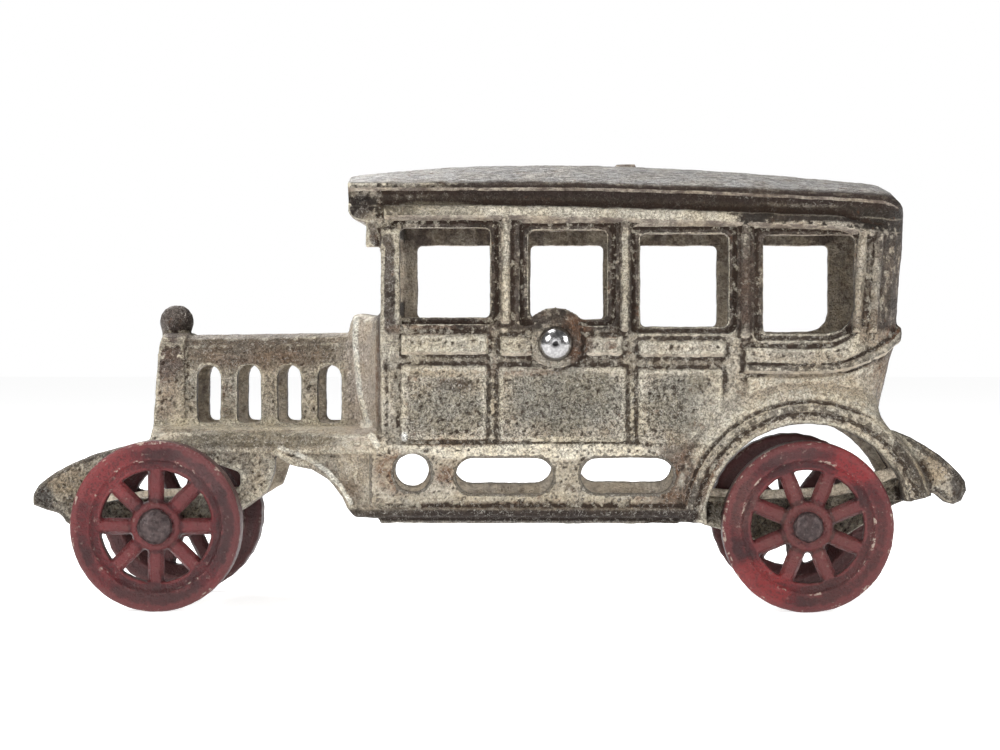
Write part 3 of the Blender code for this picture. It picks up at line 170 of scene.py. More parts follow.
# Bead iron, and the painted shadow along the board's foot
BEAD_IRON, BOARD_FOOT_SHADOW = (0.055, 0.042, 0.036), (0.045, 0.036, 0.033)
LIP_IRON, PALE_LIP = (0.056, 0.046, 0.040), (0.400, 0.375, 0.340)
TURNED_EDGE = (0.050, 0.037, 0.033)
INSIDE_PALE, INSIDE_BROWN = (0.64, 0.56, 0.46), (0.200, 0.160, 0.138)
WARM_TINT, COOL_TINT = (1.0, 0.94, 0.80), (0.95, 0.97, 0.97)
SAND, CRACK, GLINT = (0.034, 0.027, 0.022), (0.035, 0.026, 0.021), (0.78, 0.74, 0.66)

# Colours of the wheels' paint, with painted highlight and painted shade among them
DEEP_RED, RED = (0.032, 0.009, 0.010), (0.085, 0.012, 0.014)
BROWNED_RED, GRAINED_RED, HOLLOW_SHADE_RED = (0.062, 0.030, 0.024), (0.036, 0.014, 0.014), (0.022, 0.009, 0.009)
RIDGE_HIGHLIGHT_RED, TURNED_SHADE_RED = (0.180, 0.042, 0.042), (0.045, 0.020, 0.020)
RUBBED_RIM, SCUFF = (0.40, 0.33, 0.27), (0.24, 0.17, 0.145)

# Tones on the sides: x, z, half width and half height of an oval mark, then its colour and share
BODY_TONES = (
    ((-0.0440, 0.0462, 0.0190, 0.0038), (0.135, 0.102, 0.078), 0.70),
    ((-0.0585, 0.0516, 0.0050, 0.0034), (0.085, 0.070, 0.070), 0.92),
    ((-0.0600, 0.0450, 0.0044, 0.0050), (0.090, 0.066, 0.064), 0.75),
    # Painted light on the cowl's face, which turns to the front
    ((-0.0240, 0.0400, 0.0034, 0.0120), (0.520, 0.450, 0.385), 0.90),
    ((-0.0135, 0.0255, 0.0120, 0.0030), (0.390, 0.335, 0.265), 0.60),
    # Painted highlight along the board's top edge
    ((0.0080, 0.0282, 0.0260, 0.0014), (0.800, 0.740, 0.620), 0.90),
    # Painted light on a band low on the board, painted shade in the cove under it, and painted shadow on the
    # board's lower edge
    ((0.0080, 0.0200, 0.0280, 0.0010), (0.540, 0.480, 0.380), 0.70),
    ((0.0080, 0.0184, 0.0290, 0.0010), (0.190, 0.145, 0.110), 0.80),
    ((0.0080, 0.0170, 0.0300, 0.0009), (0.040, 0.032, 0.030), 0.95),
    ((-0.0070, 0.0398, 0.0034, 0.0010), (0.090, 0.062, 0.045), 0.80),
    ((0.0325, 0.0240, 0.0055, 0.0060), (0.105, 0.072, 0.054), 0.75),
    ((-0.0192, 0.0575, 0.0026, 0.0130), (0.085, 0.074, 0.070), 0.85),
    ((-0.0240, 0.0708, 0.0026, 0.0024), (0.050, 0.041, 0.039), 0.85),
    ((-0.0215, 0.0660, 0.0018, 0.0024), (0.080, 0.064, 0.060), 0.70),
    ((0.0145, 0.0478, 0.0026, 0.0046), (0.070, 0.040, 0.032), 0.85),
    ((-0.0088, 0.0352, 0.0068, 0.0046), (0.225, 0.214, 0.180), 0.75),
    ((0.0120, 0.0372, 0.0104, 0.0056), (0.215, 0.207, 0.176), 0.80),
    ((0.0325, 0.0370, 0.0066, 0.0054), (0.205, 0.197, 0.168), 0.75),
    ((-0.0065, 0.0464, 0.0105, 0.0022), (0.520, 0.480, 0.385), 0.60),
    ((0.0560, 0.0405, 0.0130, 0.0045), (0.500, 0.420, 0.320), 0.50),
    ((-0.0085, 0.0421, 0.0068, 0.0010), (0.430, 0.360, 0.265), 0.70),
    # Painted highlight on the upward strip under the doors
    ((0.0120, 0.0301, 0.0112, 0.0006), (0.560, 0.500, 0.390), 0.85),
    ((-0.0100, 0.0297, 0.0060, 0.0007), (0.300, 0.200, 0.120), 0.70),
    ((-0.0762, 0.0228, 0.0036, 0.0024), (0.330, 0.250, 0.160), 0.60),
    ((-0.0805, 0.0195, 0.0020, 0.0026), (0.060, 0.055, 0.055), 0.85),
    ((-0.0748, 0.0268, 0.0036, 0.0009), (0.060, 0.052, 0.050), 0.70),
    ((-0.0680, 0.0292, 0.0040, 0.0008), (0.070, 0.060, 0.056), 0.70),
    ((0.0765, 0.0255, 0.0036, 0.0030), (0.360, 0.280, 0.190), 0.60),
    ((0.0745, 0.0304, 0.0034, 0.0010), (0.070, 0.060, 0.058), 0.75),
    ((0.0792, 0.0274, 0.0022, 0.0014), (0.070, 0.060, 0.058), 0.75),
    ((0.0815, 0.0225, 0.0018, 0.0040), (0.060, 0.052, 0.050), 0.85),
    ((0.0390, 0.0345, 0.0040, 0.0060), (0.620, 0.570, 0.480), 0.50),
    ((0.0660, 0.0500, 0.0050, 0.0030), (0.260, 0.200, 0.150), 0.60),
)
# Tones that lie over the worn edges, painted light and shade among them
EDGE_TONES = (
    # Painted shade under the hood's roll, and painted light on its top
    ((-0.0415, 0.0299, 0.0150, 0.0015), (0.115, 0.096, 0.066), 0.75),
    ((-0.0440, 0.0327, 0.0180, 0.0010), (0.620, 0.560, 0.440), 0.75),
    ((-0.0440, 0.0466, 0.0180, 0.0012), (0.090, 0.074, 0.058), 0.50),
    ((-0.0159, 0.0307, 0.0006, 0.0008), (0.950, 0.930, 0.880), 0.95),
    ((-0.0232, 0.0328, 0.0012, 0.0008), (0.900, 0.870, 0.800), 0.80),
    ((-0.0110, 0.0703, 0.0085, 0.0014), (0.260, 0.230, 0.175), 0.65),
    ((0.0440, 0.0560, 0.0016, 0.0075), (0.110, 0.082, 0.070), 0.70),
    ((-0.0262, 0.0212, 0.0030, 0.0024), (0.160, 0.115, 0.085), 0.60),
    ((-0.0310, 0.0246, 0.0034, 0.0013), (0.160, 0.115, 0.085), 0.50),
)
WHEEL_TONES = (
    # Painted light on the front wheel's upper left, and painted shade to its right and at its bottom
    ((-0.0690, 0.0240, 0.0060, 0.0050), (0.170, 0.024, 0.026), 0.7),
    ((-0.0500, 0.0262, 0.0060, 0.0050), (0.062, 0.030, 0.030), 0.8),
    ((-0.0466, 0.0140, 0.0022, 0.0100), (0.036, 0.016, 0.016), 0.8),
    ((-0.0600, 0.0022, 0.0120, 0.0024), (0.050, 0.020, 0.019), 0.6),
    ((0.0630, 0.0260, 0.0045, 0.0035), (0.190, 0.018, 0.020), 0.8),
    ((0.0450, 0.0050, 0.0065, 0.0040), (0.190, 0.020, 0.020), 0.8),
    ((0.0600, 0.0040, 0.0070, 0.0036), (0.060, 0.022, 0.020), 0.7),
    ((0.0500, 0.0285, 0.0070, 0.0024), (0.058, 0.024, 0.024), 0.7),
    ((0.0660, 0.0120, 0.0050, 0.0070), (0.068, 0.024, 0.022), 0.7),
    ((0.0430, 0.0200, 0.0030, 0.0060), (0.080, 0.034, 0.030), 0.7),
)
# Oval marks with their shares: rust, and roof side and cornice rubbed back to the plate
RUST_STAINS = (
    ((-0.0165, 0.0245, 0.0046, 0.0038), 0.9), ((0.0715, 0.0478, 0.0042, 0.0026), 1.0),
    ((0.0142, 0.0482, 0.0026, 0.0044), 0.8), ((0.0355, 0.0245, 0.0060, 0.0045), 0.8),
    ((-0.0060, 0.0300, 0.0110, 0.0009), 0.9), ((0.0660, 0.0440, 0.0070, 0.0016), 0.5),
    ((-0.0420, 0.0450, 0.0110, 0.0030), 0.4), ((-0.0600, 0.0400, 0.0030, 0.0080), 0.4),
    ((-0.0205, 0.0400, 0.0008, 0.0100), 0.9), ((0.0700, 0.0425, 0.0045, 0.0060), 0.7),
    ((-0.0002, 0.0385, 0.0006, 0.0060), 0.8), ((-0.0085, 0.0240, 0.0020, 0.0016), 0.9),
    ((0.0205, 0.0470, 0.0014, 0.0022), 0.8), ((0.0437, 0.0545, 0.0008, 0.0070), 0.8),
    ((0.0300, 0.0200, 0.0060, 0.0014), 0.7), ((0.0040, 0.0420, 0.0070, 0.0007), 0.7),
    ((-0.0120, 0.0495, 0.0070, 0.0010), 0.6),
)
RUBBED_BAND = (
    ((-0.0170, 0.0738, 0.0100, 0.0013), 0.5), ((0.0566, 0.0716, 0.0090, 0.0008), 0.7),
    ((0.0430, 0.0729, 0.0070, 0.0006), 0.6), ((0.0550, 0.0677, 0.0080, 0.0007), 0.9),
    ((0.0613, 0.0664, 0.0030, 0.0011), 0.9),
)
# Single oval marks
CAP = (-0.0585, 0.0516, 0.0050, 0.0034)
HOOD_SIDE = (-0.0440, 0.0400, 0.0190, 0.0070)
BOARD_NOSE = (-0.0224, 0.0235, 0.0018, 0.0056)
REAR_PILLAR = (0.0645, 0.0570, 0.0026, 0.0110)
RIVET_PAD = (RIVET_X, RIVET_Z, 0.0060, 0.0060)


class Signal:
    """A socket in a finish's node tree. Sums on it add Math nodes."""

    def __init__(self, finish, socket):
        self.finish = finish
        self.socket = socket

    def maths(self, operation, *values):
        return self.finish.node("ShaderNodeMath", {"operation": operation}, dict(enumerate(values)))

    def __add__(self, other):
        return self.maths("ADD", self, other)

    __radd__ = __add__

    def __sub__(self, other):
        return self.maths("SUBTRACT", self, other)

    def __rsub__(self, other):
        return self.maths("SUBTRACT", other, self)

    def __mul__(self, other):
        return self.maths("MULTIPLY", self, other)

    __rmul__ = __mul__

    def __truediv__(self, other):
        return self.maths("DIVIDE", self, other)

    def __rtruediv__(self, other):
        return self.maths("DIVIDE", other, self)

    def __pow__(self, power):
        return self.maths("POWER", self, power)

    def __rpow__(self, base):
        return self.maths("POWER", base, self)

    def __abs__(self):
        return self.maths("ABSOLUTE", self)

    def most(self, other):
        return self.maths("MAXIMUM", self, other)

    def ramp(self, start, end):
        """0 below start and 1 above end, with a smooth step between."""
        return self.finish.node("ShaderNodeMapRange", {"interpolation_type": "SMOOTHSTEP"},
                                {"Value": self, "From Min": start, "From Max": end})

    def between(self, low, high, soft):
        """1 from low to high, with soft edges."""
        return self.ramp(low - soft, low + soft) * (1 - self.ramp(high - soft, high + soft))


class Finish:
    """A material with its Principled shader, and the measures that its marks are placed by."""

    def __init__(self, name):
        self.material = bpy.data.materials.new(name)
        self.material.use_nodes = True
        self.tree = self.material.node_tree
        self.shader = self.tree.nodes["Principled BSDF"]
        self.place = self.node("ShaderNodeTexCoord", output="Object")
        self.x, self.z = (self.node("ShaderNodeSeparateXYZ", {}, {0: self.place}, axis) for axis in "XZ")
        self.waver = self.noise(0.0035, 4.0, 0.6)

    def node(self, kind, settings=None, sockets=None, output=0):
        made = self.tree.nodes.new(kind)
        for name, value in (settings or {}).items():
            setattr(made, name, value)
        for key, value in (sockets or {}).items():
            if isinstance(value, Signal):
                self.tree.links.new(value.socket, made.inputs[key])
            else:
                made.inputs[key].default_value = value
        return Signal(self, made.outputs[output])

    def noise(self, size, detail=3.0, roughness=0.55, stretch=None, distortion=0.0):
        """Cloudy noise from 0 to 1 with marks of the given size in metres."""
        place = self.place
        if stretch:
            place = self.node("ShaderNodeVectorMath", {"operation": "MULTIPLY"}, {0: place, 1: stretch})
        return self.node("ShaderNodeTexNoise", {}, {"Vector": place, "Scale": 1 / size, "Detail": detail,
                                                    "Roughness": roughness, "Distortion": distortion})

    def web(self, size, distortion, start, end):
        """1 along winding lines, and 0 away from them."""
        return 1 - abs(self.noise(size, 2.0, 0.6, None, distortion) - 0.5).ramp(start, end)

    def mottled(self, small):
        """Uneven values about 0, from broad and small noise."""
        return (self.waver - 0.5) + (small - 0.5) * 0.8

    def attribute(self, name):
        return self.node("ShaderNodeAttribute", {"attribute_name": name}, {}, "Fac")

    def blend(self, share, low, high, blend_type="MIX"):
        """From the colour low to the colour high by a share."""
        ends = [(*end, 1.0) if isinstance(end, tuple) else end for end in (low, high)]
        return self.node("ShaderNodeMix", {"data_type": "RGBA", "blend_type": blend_type},
                         {0: share, 6: ends[0], 7: ends[1]}, 2)

    def patch(self, x, z, width, height):
        """An oval mark with an uneven edge on the side, 1 at its middle."""
        reach = ((self.x - x) / width) ** 2 + ((self.z - z) / height) ** 2 + (self.waver - 0.5) * 1.8
        return 1 - reach.ramp(0.4, 1.6)

    def strongest(self, marks):
        """The strongest of some oval marks, each with its share."""
        found = 0.0
        for place, share in marks:
            found = (self.patch(*place) * share).most(found)
        return found

    def toned(self, colour, tones):
        """A colour with oval marks of other colours over it."""
        for place, tone, share in tones:
            colour = self.blend(self.patch(*place) * share, colour, tone)
        return colour

    def feed(self, colour, roughness, metallic, relief, depth):
        """Links what varies to the shader."""
        normal = self.node("ShaderNodeBump", {}, {"Height": relief, "Distance": depth, "Strength": 1.0},
                           "Normal")
        for name, value in (("Base Color", colour), ("Roughness", roughness), ("Metallic", metallic),
                            ("Normal", normal)):
            if isinstance(value, Signal):
                self.tree.links.new(value.socket, self.shader.inputs[name])
            else:
                self.shader.inputs[name].default_value = value
        return self.material


class WornNickel(Finish):
    """Nickel plate worn and browned on sand-cast iron, with painted shade in its hollows and painted
    highlights on its ridges.
    """

    def __init__(self):
        super().__init__("worn_nickel_casting")
        self.near, self.far = self.attribute("near_relief"), self.attribute("far_relief")
        self.facing, self.upward = self.attribute("facing"), self.attribute("upward")
        self.broad = self.noise(0.0110, 4.0)
        self.small = self.noise(0.0011, 3.0, 0.6)
        self.mottle = self.mottled(self.small)
        self.crumbs = self.small + self.waver * 0.4
        self.mark_roof()
        self.mark_sides()

    def mark_roof(self):
        """Where the roof top, roof side, cornice and window surrounds are."""
        x, z, mottle = self.x, self.z, self.mottle
        fall = (x.most(0) / CORNICE_LENGTH) ** 1.4 * CORNICE_FALL
        self.level = z - CORNICE_Z + fall + (self.waver - 0.5) * 0.0012
        self.top = self.level.ramp(0.0048, 0.0056)
        self.roof_side = self.level.between(*ROOF_SIDE, 0.0003)
        self.cornice = self.level.between(*CORNICE_BAND, 0.0003)
        windows = (z + mottle * 0.0012).ramp(0.0484, 0.0498) * (1 - self.level.ramp(-0.0016, -0.0010))
        self.windows = windows * (x + mottle * 0.001).ramp(-0.0205, -0.0190)
        self.rear = x.ramp(0.038, 0.050)
        front = 1 - x.ramp(-0.019, -0.008)
        self.worn_cornice = (mottle * 0.6 + self.rear * 0.70 + front * 0.42).ramp(0.09, 0.24)
        chips = self.waver * 0.4 + self.small * 0.7 + front * 0.12 - self.level.ramp(-0.001, 0.001) * 0.13
        self.chips = chips.ramp(0.565, 0.665)

    def mark_sides(self):
        """Where the doors, board, cowl, horns, arch and the smoothly cast forms are."""
        x, z = self.x, self.z
        self.door = z.between(*DOORS[1], 0.0006) * x.between(*DOORS[0], 0.0006)
        self.board = z.between(*BOARD[1], 0.0004) * x.between(*BOARD[0], 0.0010)
        self.foot = (1 - z.ramp(0.0177, 0.0185)) * x.between(*BOARD_FOOT, 0.0010)
        self.cowl = x.between(*COWL, 0.0004)
        self.horn = x.ramp(0.0690, 0.0700).most(1 - x.ramp(-0.0640, -0.0620)) * (1 - z.ramp(0.0315, 0.0325))
        self.span = ((x - REAR_AXLE_X) ** 2 + (z - AXLE_Z) ** 2) ** 0.5
        flare = self.span.between(*ARCH_FLARE, 0.0004) * z.ramp(0.026, 0.030)
        smooth = self.cowl.most(flare * 0.9).most(self.patch(*BOARD_NOSE))
        self.smooth = smooth.most(x.between(*HOOD_FOOT[0], 0.0006) * z.between(*HOOD_FOOT[1], 0.0004))

    def plate(self):
        """The plate with its stains."""
        colour = self.blend(self.broad.ramp(0.35, 0.65), BRIGHT_PLATE, DULL_PLATE)
        colour = self.blend(self.waver.ramp(0.45, 0.70) * 0.55, colour, PLATE_STAIN)
        colour = self.blend(self.noise(0.0060, 5.0, 0.7).ramp(0.57, 0.70) * 0.7, colour, DARK_STAIN)
        return self.toned(colour, BODY_TONES)

    def bared(self, colour):
        """Dark iron where the plate is gone: window surrounds, roof side and roof top."""
        iron = self.blend(self.waver.ramp(0.35, 0.7), ROOF_SIDE_IRON, ROOF_SIDE_WORN)
        iron = self.blend(self.windows, iron, self.blend(self.waver.ramp(0.35, 0.6), FRAME_IRON, FRAME_WORN))
        rolls = 0.0
        for place in PILLAR_ROLLS:
            rolls = (1 - abs(self.x - place).ramp(0.0005, 0.0011)).most(rolls)
        worn_rolls = (self.mottle * 0.9 + self.x.ramp(0.0, 0.045) * 0.26).ramp(-0.02, 0.16)
        rolls = (rolls * (1 - worn_rolls * 0.9)).most(self.patch(*REAR_PILLAR) * 0.8)
        rubbed = self.strongest(RUBBED_BAND) * self.crumbs.ramp(0.55, 0.70)
        band = self.roof_side.most(self.cornice * self.worn_cornice) * (1 - rubbed)
        self.dark = band.most(self.windows * (1 - rolls)) * (1 - self.chips * 0.8)
        colour = self.blend(self.dark * 0.95, colour, iron)
        streaks = self.noise(0.0008, 3.0, 0.7, (0.45, 1.6, 1.0)).ramp(0.38, 0.64)
        # The roof top's streaks, paler in part as a painted sheen from above
        return self.blend(self.top, colour, self.blend(streaks, ROOF_TOP_DARK, ROOF_TOP_PALE))

    def rusted(self, colour):
        stains = self.strongest(RUST_STAINS) * (self.mottle + 0.5).ramp(0.28, 0.60)
        spots = (self.noise(0.0021, 4.0, 0.7) + self.broad * 0.25).ramp(0.71, 0.84) * 0.6
        self.rust = stains.most(spots)
        return self.blend(self.rust * 0.9, colour, RUST)

    def dirtied_and_shaded(self, colour):
        """Dirt and painted shade in the hollows, and painted shade as dark lines in the creases."""
        hollow = (self.far * -1 + self.near * -0.4 + self.mottle * 0.16).ramp(0.03, 0.13)
        self.hollow = hollow * (1 - self.smooth)
        # Darker in the hollows: dirt with painted shade
        colour = self.blend(self.hollow * (1 - self.door) * 0.55, colour, HOLLOW_DIRT_AND_SHADE)
        colour = self.blend(self.hollow * self.door * 0.65, colour, DOOR_DIRT)
        # Dark lines in the creases: painted shade
        crevice_shade = (self.near * -1 + self.mottle * 0.03).ramp(0.012, 0.042) * (1 - self.smooth * 0.85)
        return self.blend(crevice_shade * 0.85, colour, CREVICE_SHADE)

    def edged(self, colour):
        """Bright metal on the ridges, partly wear and partly painted highlight, and a painted highlight on the
        arch's crest; the dark lines of beads and lips, painted shadow along the board's foot, and a paler
        lowest lip.
        """
        x, z = self.x, self.z
        ridge = self.far * 0.7 + self.near * 2.0 + self.mottle * 0.20 - self.level.ramp(0.0010, 0.0020) * 0.3
        ridge = ridge - self.windows * (0.10 + self.rear * 0.16) - self.cornice * self.worn_cornice * 0.25
        ridge = ridge - self.patch(*CAP) * 0.5 - self.patch(*HOOD_SIDE) * 0.12
        ridge = (ridge - self.board * 0.14 - self.horn * 0.3).ramp(0.08, 0.16)
        ridge = ridge * (1 - self.patch(*RIVET_PAD))
        self.bright = ridge.most(self.chips * self.hollow * (1 - self.roof_side) * 0.7) * (1 - self.foot)
        # Lighter ridges: worn metal with a painted highlight
        colour = self.blend(self.bright * 0.75, colour, RIDGE_WEAR_AND_HIGHLIGHT)
        colour = self.toned(colour, EDGE_TONES)
        bead = self.span.between(*ARCH_BEAD, 0.0002).most(self.attribute("belt_roll"))
        bead = bead * (1 - self.crumbs.ramp(0.68, 0.78) * 0.8)
        colour = self.blend(bead * 0.75, colour, BEAD_IRON)
        # Bright flecks along the cowl and arch ridges: chipped metal with a painted highlight
        chipped_and_lit = self.attribute("chipped_and_lit_ridge").ramp(0.2, 0.6) * self.crumbs.ramp(0.50, 0.66)
        colour = self.blend(chipped_and_lit * 0.9, colour, CHIP_AND_HIGHLIGHT_METAL)
        # Dark band along the board's foot: painted shadow
        colour = self.blend(self.foot * 0.85, colour, BOARD_FOOT_SHADOW)
        # Light on the arch's crest: painted highlight
        crest = self.span.between(*ARCH_CREST, 0.0004) * z.ramp(0.020, 0.024)
        colour = self.blend(crest * (self.mottle + 0.5).ramp(0.35, 0.65) * 0.5, colour, CREST_HIGHLIGHT)
        lip = (self.near + self.mottle * 0.03).ramp(0.018, 0.040) * self.board.most(self.horn)
        colour = self.blend(lip * 0.75, colour, LIP_IRON)
        # Paler along the lowest lip of the board
        pale_lip = (1 - z.ramp(0.0158, 0.0161)) * x.between(*BOARD_LIP, 0.0004)
        return self.blend(pale_lip * 0.7, colour, PALE_LIP)

    def turned_away(self, colour):
        """Painted shade on faces that turn away, and the inside of the shell, pale partly as painted light and
        browner towards the top.
        """
        drip = self.level.between(*DRIP_EDGE, 0.0003) * self.x.ramp(-0.018, 0.002)
        # Darker where faces turn away from the side and don't face up: painted shade. The rear part of the
        # drip edge takes the same dark colour
        turned = (1 - self.facing.ramp(0.10, 0.62)) * (1 - (self.upward + self.mottle * 0.4).ramp(0.40, 0.80))
        turned = (turned * (1 - self.top)).most(drip) * (1 - self.cowl)
        colour = self.blend(turned * 0.85, colour, TURNED_EDGE)
        downward = (1 - self.upward.ramp(-0.7, -0.3)) * self.z.ramp(0.03, 0.04)
        # The inside of the shell, pale partly as painted light, and browner towards the top
        self.inside = 1 - (self.facing + downward * -2).ramp(-0.6, -0.2)
        brown = (self.mottle + self.z.ramp(0.060, 0.067) * 0.20).ramp(-0.05, 0.40)
        return self.blend(self.inside * 0.9, colour, self.blend(brown, INSIDE_PALE, INSIDE_BROWN))

    def made(self):
        colour = self.turned_away(self.edged(self.dirtied_and_shaded(self.rusted(self.bared(self.plate())))))
        door, board, inside, top, cowl = self.door, self.board, self.inside, self.top, self.cowl
        grain = self.noise(0.00042, 3.0, 0.65)
        vein = self.web(0.0010, 0.8, 0.005, 0.060)
        glint = self.web(0.0009, 0.5, 0.0, 0.032) * self.small.ramp(0.40, 0.58)
        tint = self.blend(self.noise(0.0045, 3.0).ramp(0.38, 0.62), WARM_TINT, COOL_TINT)
        colour = self.blend(0.45, colour, tint, "MULTIPLY")
        sand = grain.ramp(0.50, 0.58) * (0.44 + door * 0.20 - board * 0.20 - inside * 0.20)
        colour = self.blend(sand, colour, SAND)
        cracks = vein * (0.42 + door * 0.20 - board * 0.15 - top * 0.2 - inside * 0.2 - cowl * 0.2)
        colour = self.blend(cracks, colour, CRACK)
        colour = self.blend(glint * (0.40 - self.dark * 0.32 - inside * 0.3 - top * 0.1), colour, GLINT)
        self.shader.inputs["Specular IOR Level"].default_value = 0.12
        metal = (0.62 + self.dark * 0.2 - self.rust * 0.4 - inside * 0.4).most(0)
        roughness = (0.22 + self.dark * 0.08 + self.rust * 0.3 + self.hollow * 0.2 + grain * 0.30
                     - self.bright * 0.05)
        relief = grain * 0.7 - vein * 0.2 + self.small * 0.6 + glint * 0.1
        return self.feed(colour, roughness, metal, relief, 0.00075)


def worn_red():
    """Dull dark red paint, rubbed to grey on the rim's edge and bright where it has chipped, with painted
    highlights on its ridges and painted shade in its hollows and on faces that turn away.
    """
    f = Finish("worn_red_wheel_paint")
    near, far, radius = f.attribute("near_relief"), f.attribute("far_relief"), f.attribute("radius")
    broad, small, grain = f.noise(0.0060, 4.0), f.noise(0.0009, 3.0, 0.6), f.noise(0.0004, 2.0, 0.6)
    mottle = f.mottled(small)
    red = f.toned(f.blend(broad.ramp(0.35, 0.65), DEEP_RED, RED), WHEEL_TONES)
    brown = (1 - radius.ramp(0.0070, 0.0105)) * (mottle + 0.35 + f.x.ramp(-0.02, 0.02) * 0.25).ramp(0.35, 0.65)
    red = f.blend(brown * 0.7, red, BROWNED_RED)
    red = f.blend(grain.ramp(0.48, 0.62) * 0.55, red, GRAINED_RED)
    # Darker red in the hollows: painted shade
    hollow = (far * -1 + near * -0.5 + mottle * 0.20).ramp(0.05, 0.18)
    red = f.blend(hollow * (0.75 - (1 - radius.ramp(0.0052, 0.0064)) * 0.5), red, HOLLOW_SHADE_RED)
    # Lighter red on the ridges: painted highlight
    ridge = (far + near + mottle * 0.30).ramp(0.10, 0.22)
    red = f.blend(ridge * 0.36, red, RIDGE_HIGHLIGHT_RED)
    rim_edges = radius.between(0.01150, 0.01195, 0.0001).most(radius.between(0.0144, 0.0152, 0.0001))
    red = f.blend(rim_edges * mottle.ramp(0.08, 0.18) * 0.75, red, RUBBED_RIM)
    scuffs = (f.noise(0.0014, 4.0, 0.7) + broad * 0.2).ramp(0.72, 0.80)
    red = f.blend(scuffs * 0.4, red, SCUFF)
    # Darker red where faces turn away from the side: painted shade
    turned = 1 - f.attribute("facing").ramp(0.1, 0.5)
    red = f.blend(turned * 0.7, red, TURNED_SHADE_RED)
    roughness = 0.24 + small * 0.25 + hollow * 0.2 + turned * 0.1
    f.shader.inputs["Specular IOR Level"].default_value = 0.25
    return f.feed(red, roughness, 0.0, grain * 0.6 + small * 0.8, 0.00042)


def browned_iron():
    f = Finish("browned_iron_heads")
    small, grain = f.noise(0.0010, 3.0, 0.6), f.noise(0.0003, 2.0, 0.6)
    colour = f.blend(small.ramp(0.35, 0.7), (0.026, 0.016, 0.016), (0.070, 0.048, 0.046))
    colour = f.blend(grain.ramp(0.6, 0.75) * 0.5, colour, (0.17, 0.145, 0.14))
    return f.feed(colour, 0.24 + small * 0.25, 0.5, grain * 0.4 + small * 0.8, 0.0003)


def polished_steel():
    """Polished steel, with painted shade in the punch mark and round the head's edge."""
    f = Finish("polished_rivet_steel")
    streak = f.noise(0.0005, 3.0, 0.6)
    colour = f.blend(streak.ramp(0.4, 0.7), (0.30, 0.295, 0.295), (0.46, 0.455, 0.455))
    reach = ((f.x - RIVET_X) ** 2 + (f.z - RIVET_Z) ** 2) ** 0.5
    # Dark in the punch mark: painted shade
    colour = f.blend(1 - (reach + streak * 0.0003).ramp(0.0005, 0.0008), colour, (0.030, 0.029, 0.029))
    # Dark round the head's edge: painted shade
    colour = f.blend(reach.ramp(0.0027, 0.0031) * 0.7, colour, (0.070, 0.062, 0.060))
    return f.feed(colour, 0.14 + streak * 0.10, 1.0, streak, 0.00004)


def white_paper():
    f = Finish("white_backdrop_paper")
    fibre = f.noise(0.0020, 2.0)
    colour = f.blend(fibre, (0.78, 0.78, 0.78), (0.82, 0.82, 0.82))
    f.shader.inputs["Emission Color"].default_value = (1.0, 1.0, 1.0, 1.0)
    f.shader.inputs["Emission Strength"].default_value = PAPER_GLOW
    f.shader.inputs["Specular IOR Level"].default_value = 0.0
    return f.feed(colour, 1.0, 0.0, fibre, 0.00001)


def relaxed(places, edges, rounds):
    """Places drawn towards the mean of their neighbours."""
    links = np.bincount(edges.ravel(), minlength=len(places))[:, None].clip(1)
    for _ in range(rounds):
        total = np.empty_like(places)
        for axis in range(3):
            column = places[:, axis]
            total[:, axis] = (np.bincount(edges[:, 0], column[edges[:, 1]], len(places))
                              + np.bincount(edges[:, 1], column[edges[:, 0]], len(places)))
        places = places + 0.6 * (total / links - places)
    return places


def write_measure(mesh, name, values):
    layer = mesh.attributes.new(name, "FLOAT", "POINT")
    layer.data.foreach_set("value", values.astype(np.float32))


def rows_of(items, field, width, kind=np.float32):
    """A field of a mesh's points, normals or edges as rows."""
    values = np.empty(len(items) * width, kind)
    items.foreach_get(field, values)
    return values.reshape(-1, width)


def surface_of(mesh):
    """A mesh's points, their normals and its edges."""
    points = rows_of(mesh.vertices, "co", 3).astype(float)
    normals = rows_of(mesh.vertex_normals, "vector", 3).astype(float)
    return points, normals, rows_of(mesh.edges, "vertices", 2, np.int32)


def move_points(mesh, places):
    """Moves a mesh's points, none of them past the box of the solids."""
    held = np.clip(places, np.array(cad_box[0]), np.array(cad_box[1]))
    mesh.vertices.foreach_set("co", held.astype(np.float32).ravel())
    mesh.update()


def outwards(places, normals):
    """How much each normal points away from the middle plane."""
    return normals[:, 1] * np.where(places[:, 1] < 0, -1.0, 1.0)


def distance_to_line(places, line):
    """Distance in side view from each point to a line through (x, z) points."""
    flat = places[:, [0, 2]]
    best = np.full(len(flat), 1.0)
    for start, end in zip(line, line[1:]):
        start, step = np.array(start), np.subtract(end, start)
        share = np.clip(((flat - start) @ step) / (step @ step), 0, 1)
        best = np.minimum(best, np.hypot(*(flat - start - share[:, None] * step).T))
    return best


def smooth_share(value, start, end):
    t = np.clip((value - start) / (end - start), 0, 1)
    return t * t * (3 - 2 * t)


def span_share(value, start, full, fade, end):
    """0 outside start and end, and 1 from full to fade."""
    return smooth_share(value, start, full) * (1 - smooth_share(value, fade, end))


def hump(distance, width, power=2):
    """1 at no distance, falling off over a width."""
    return np.exp(-(distance / width) ** power)


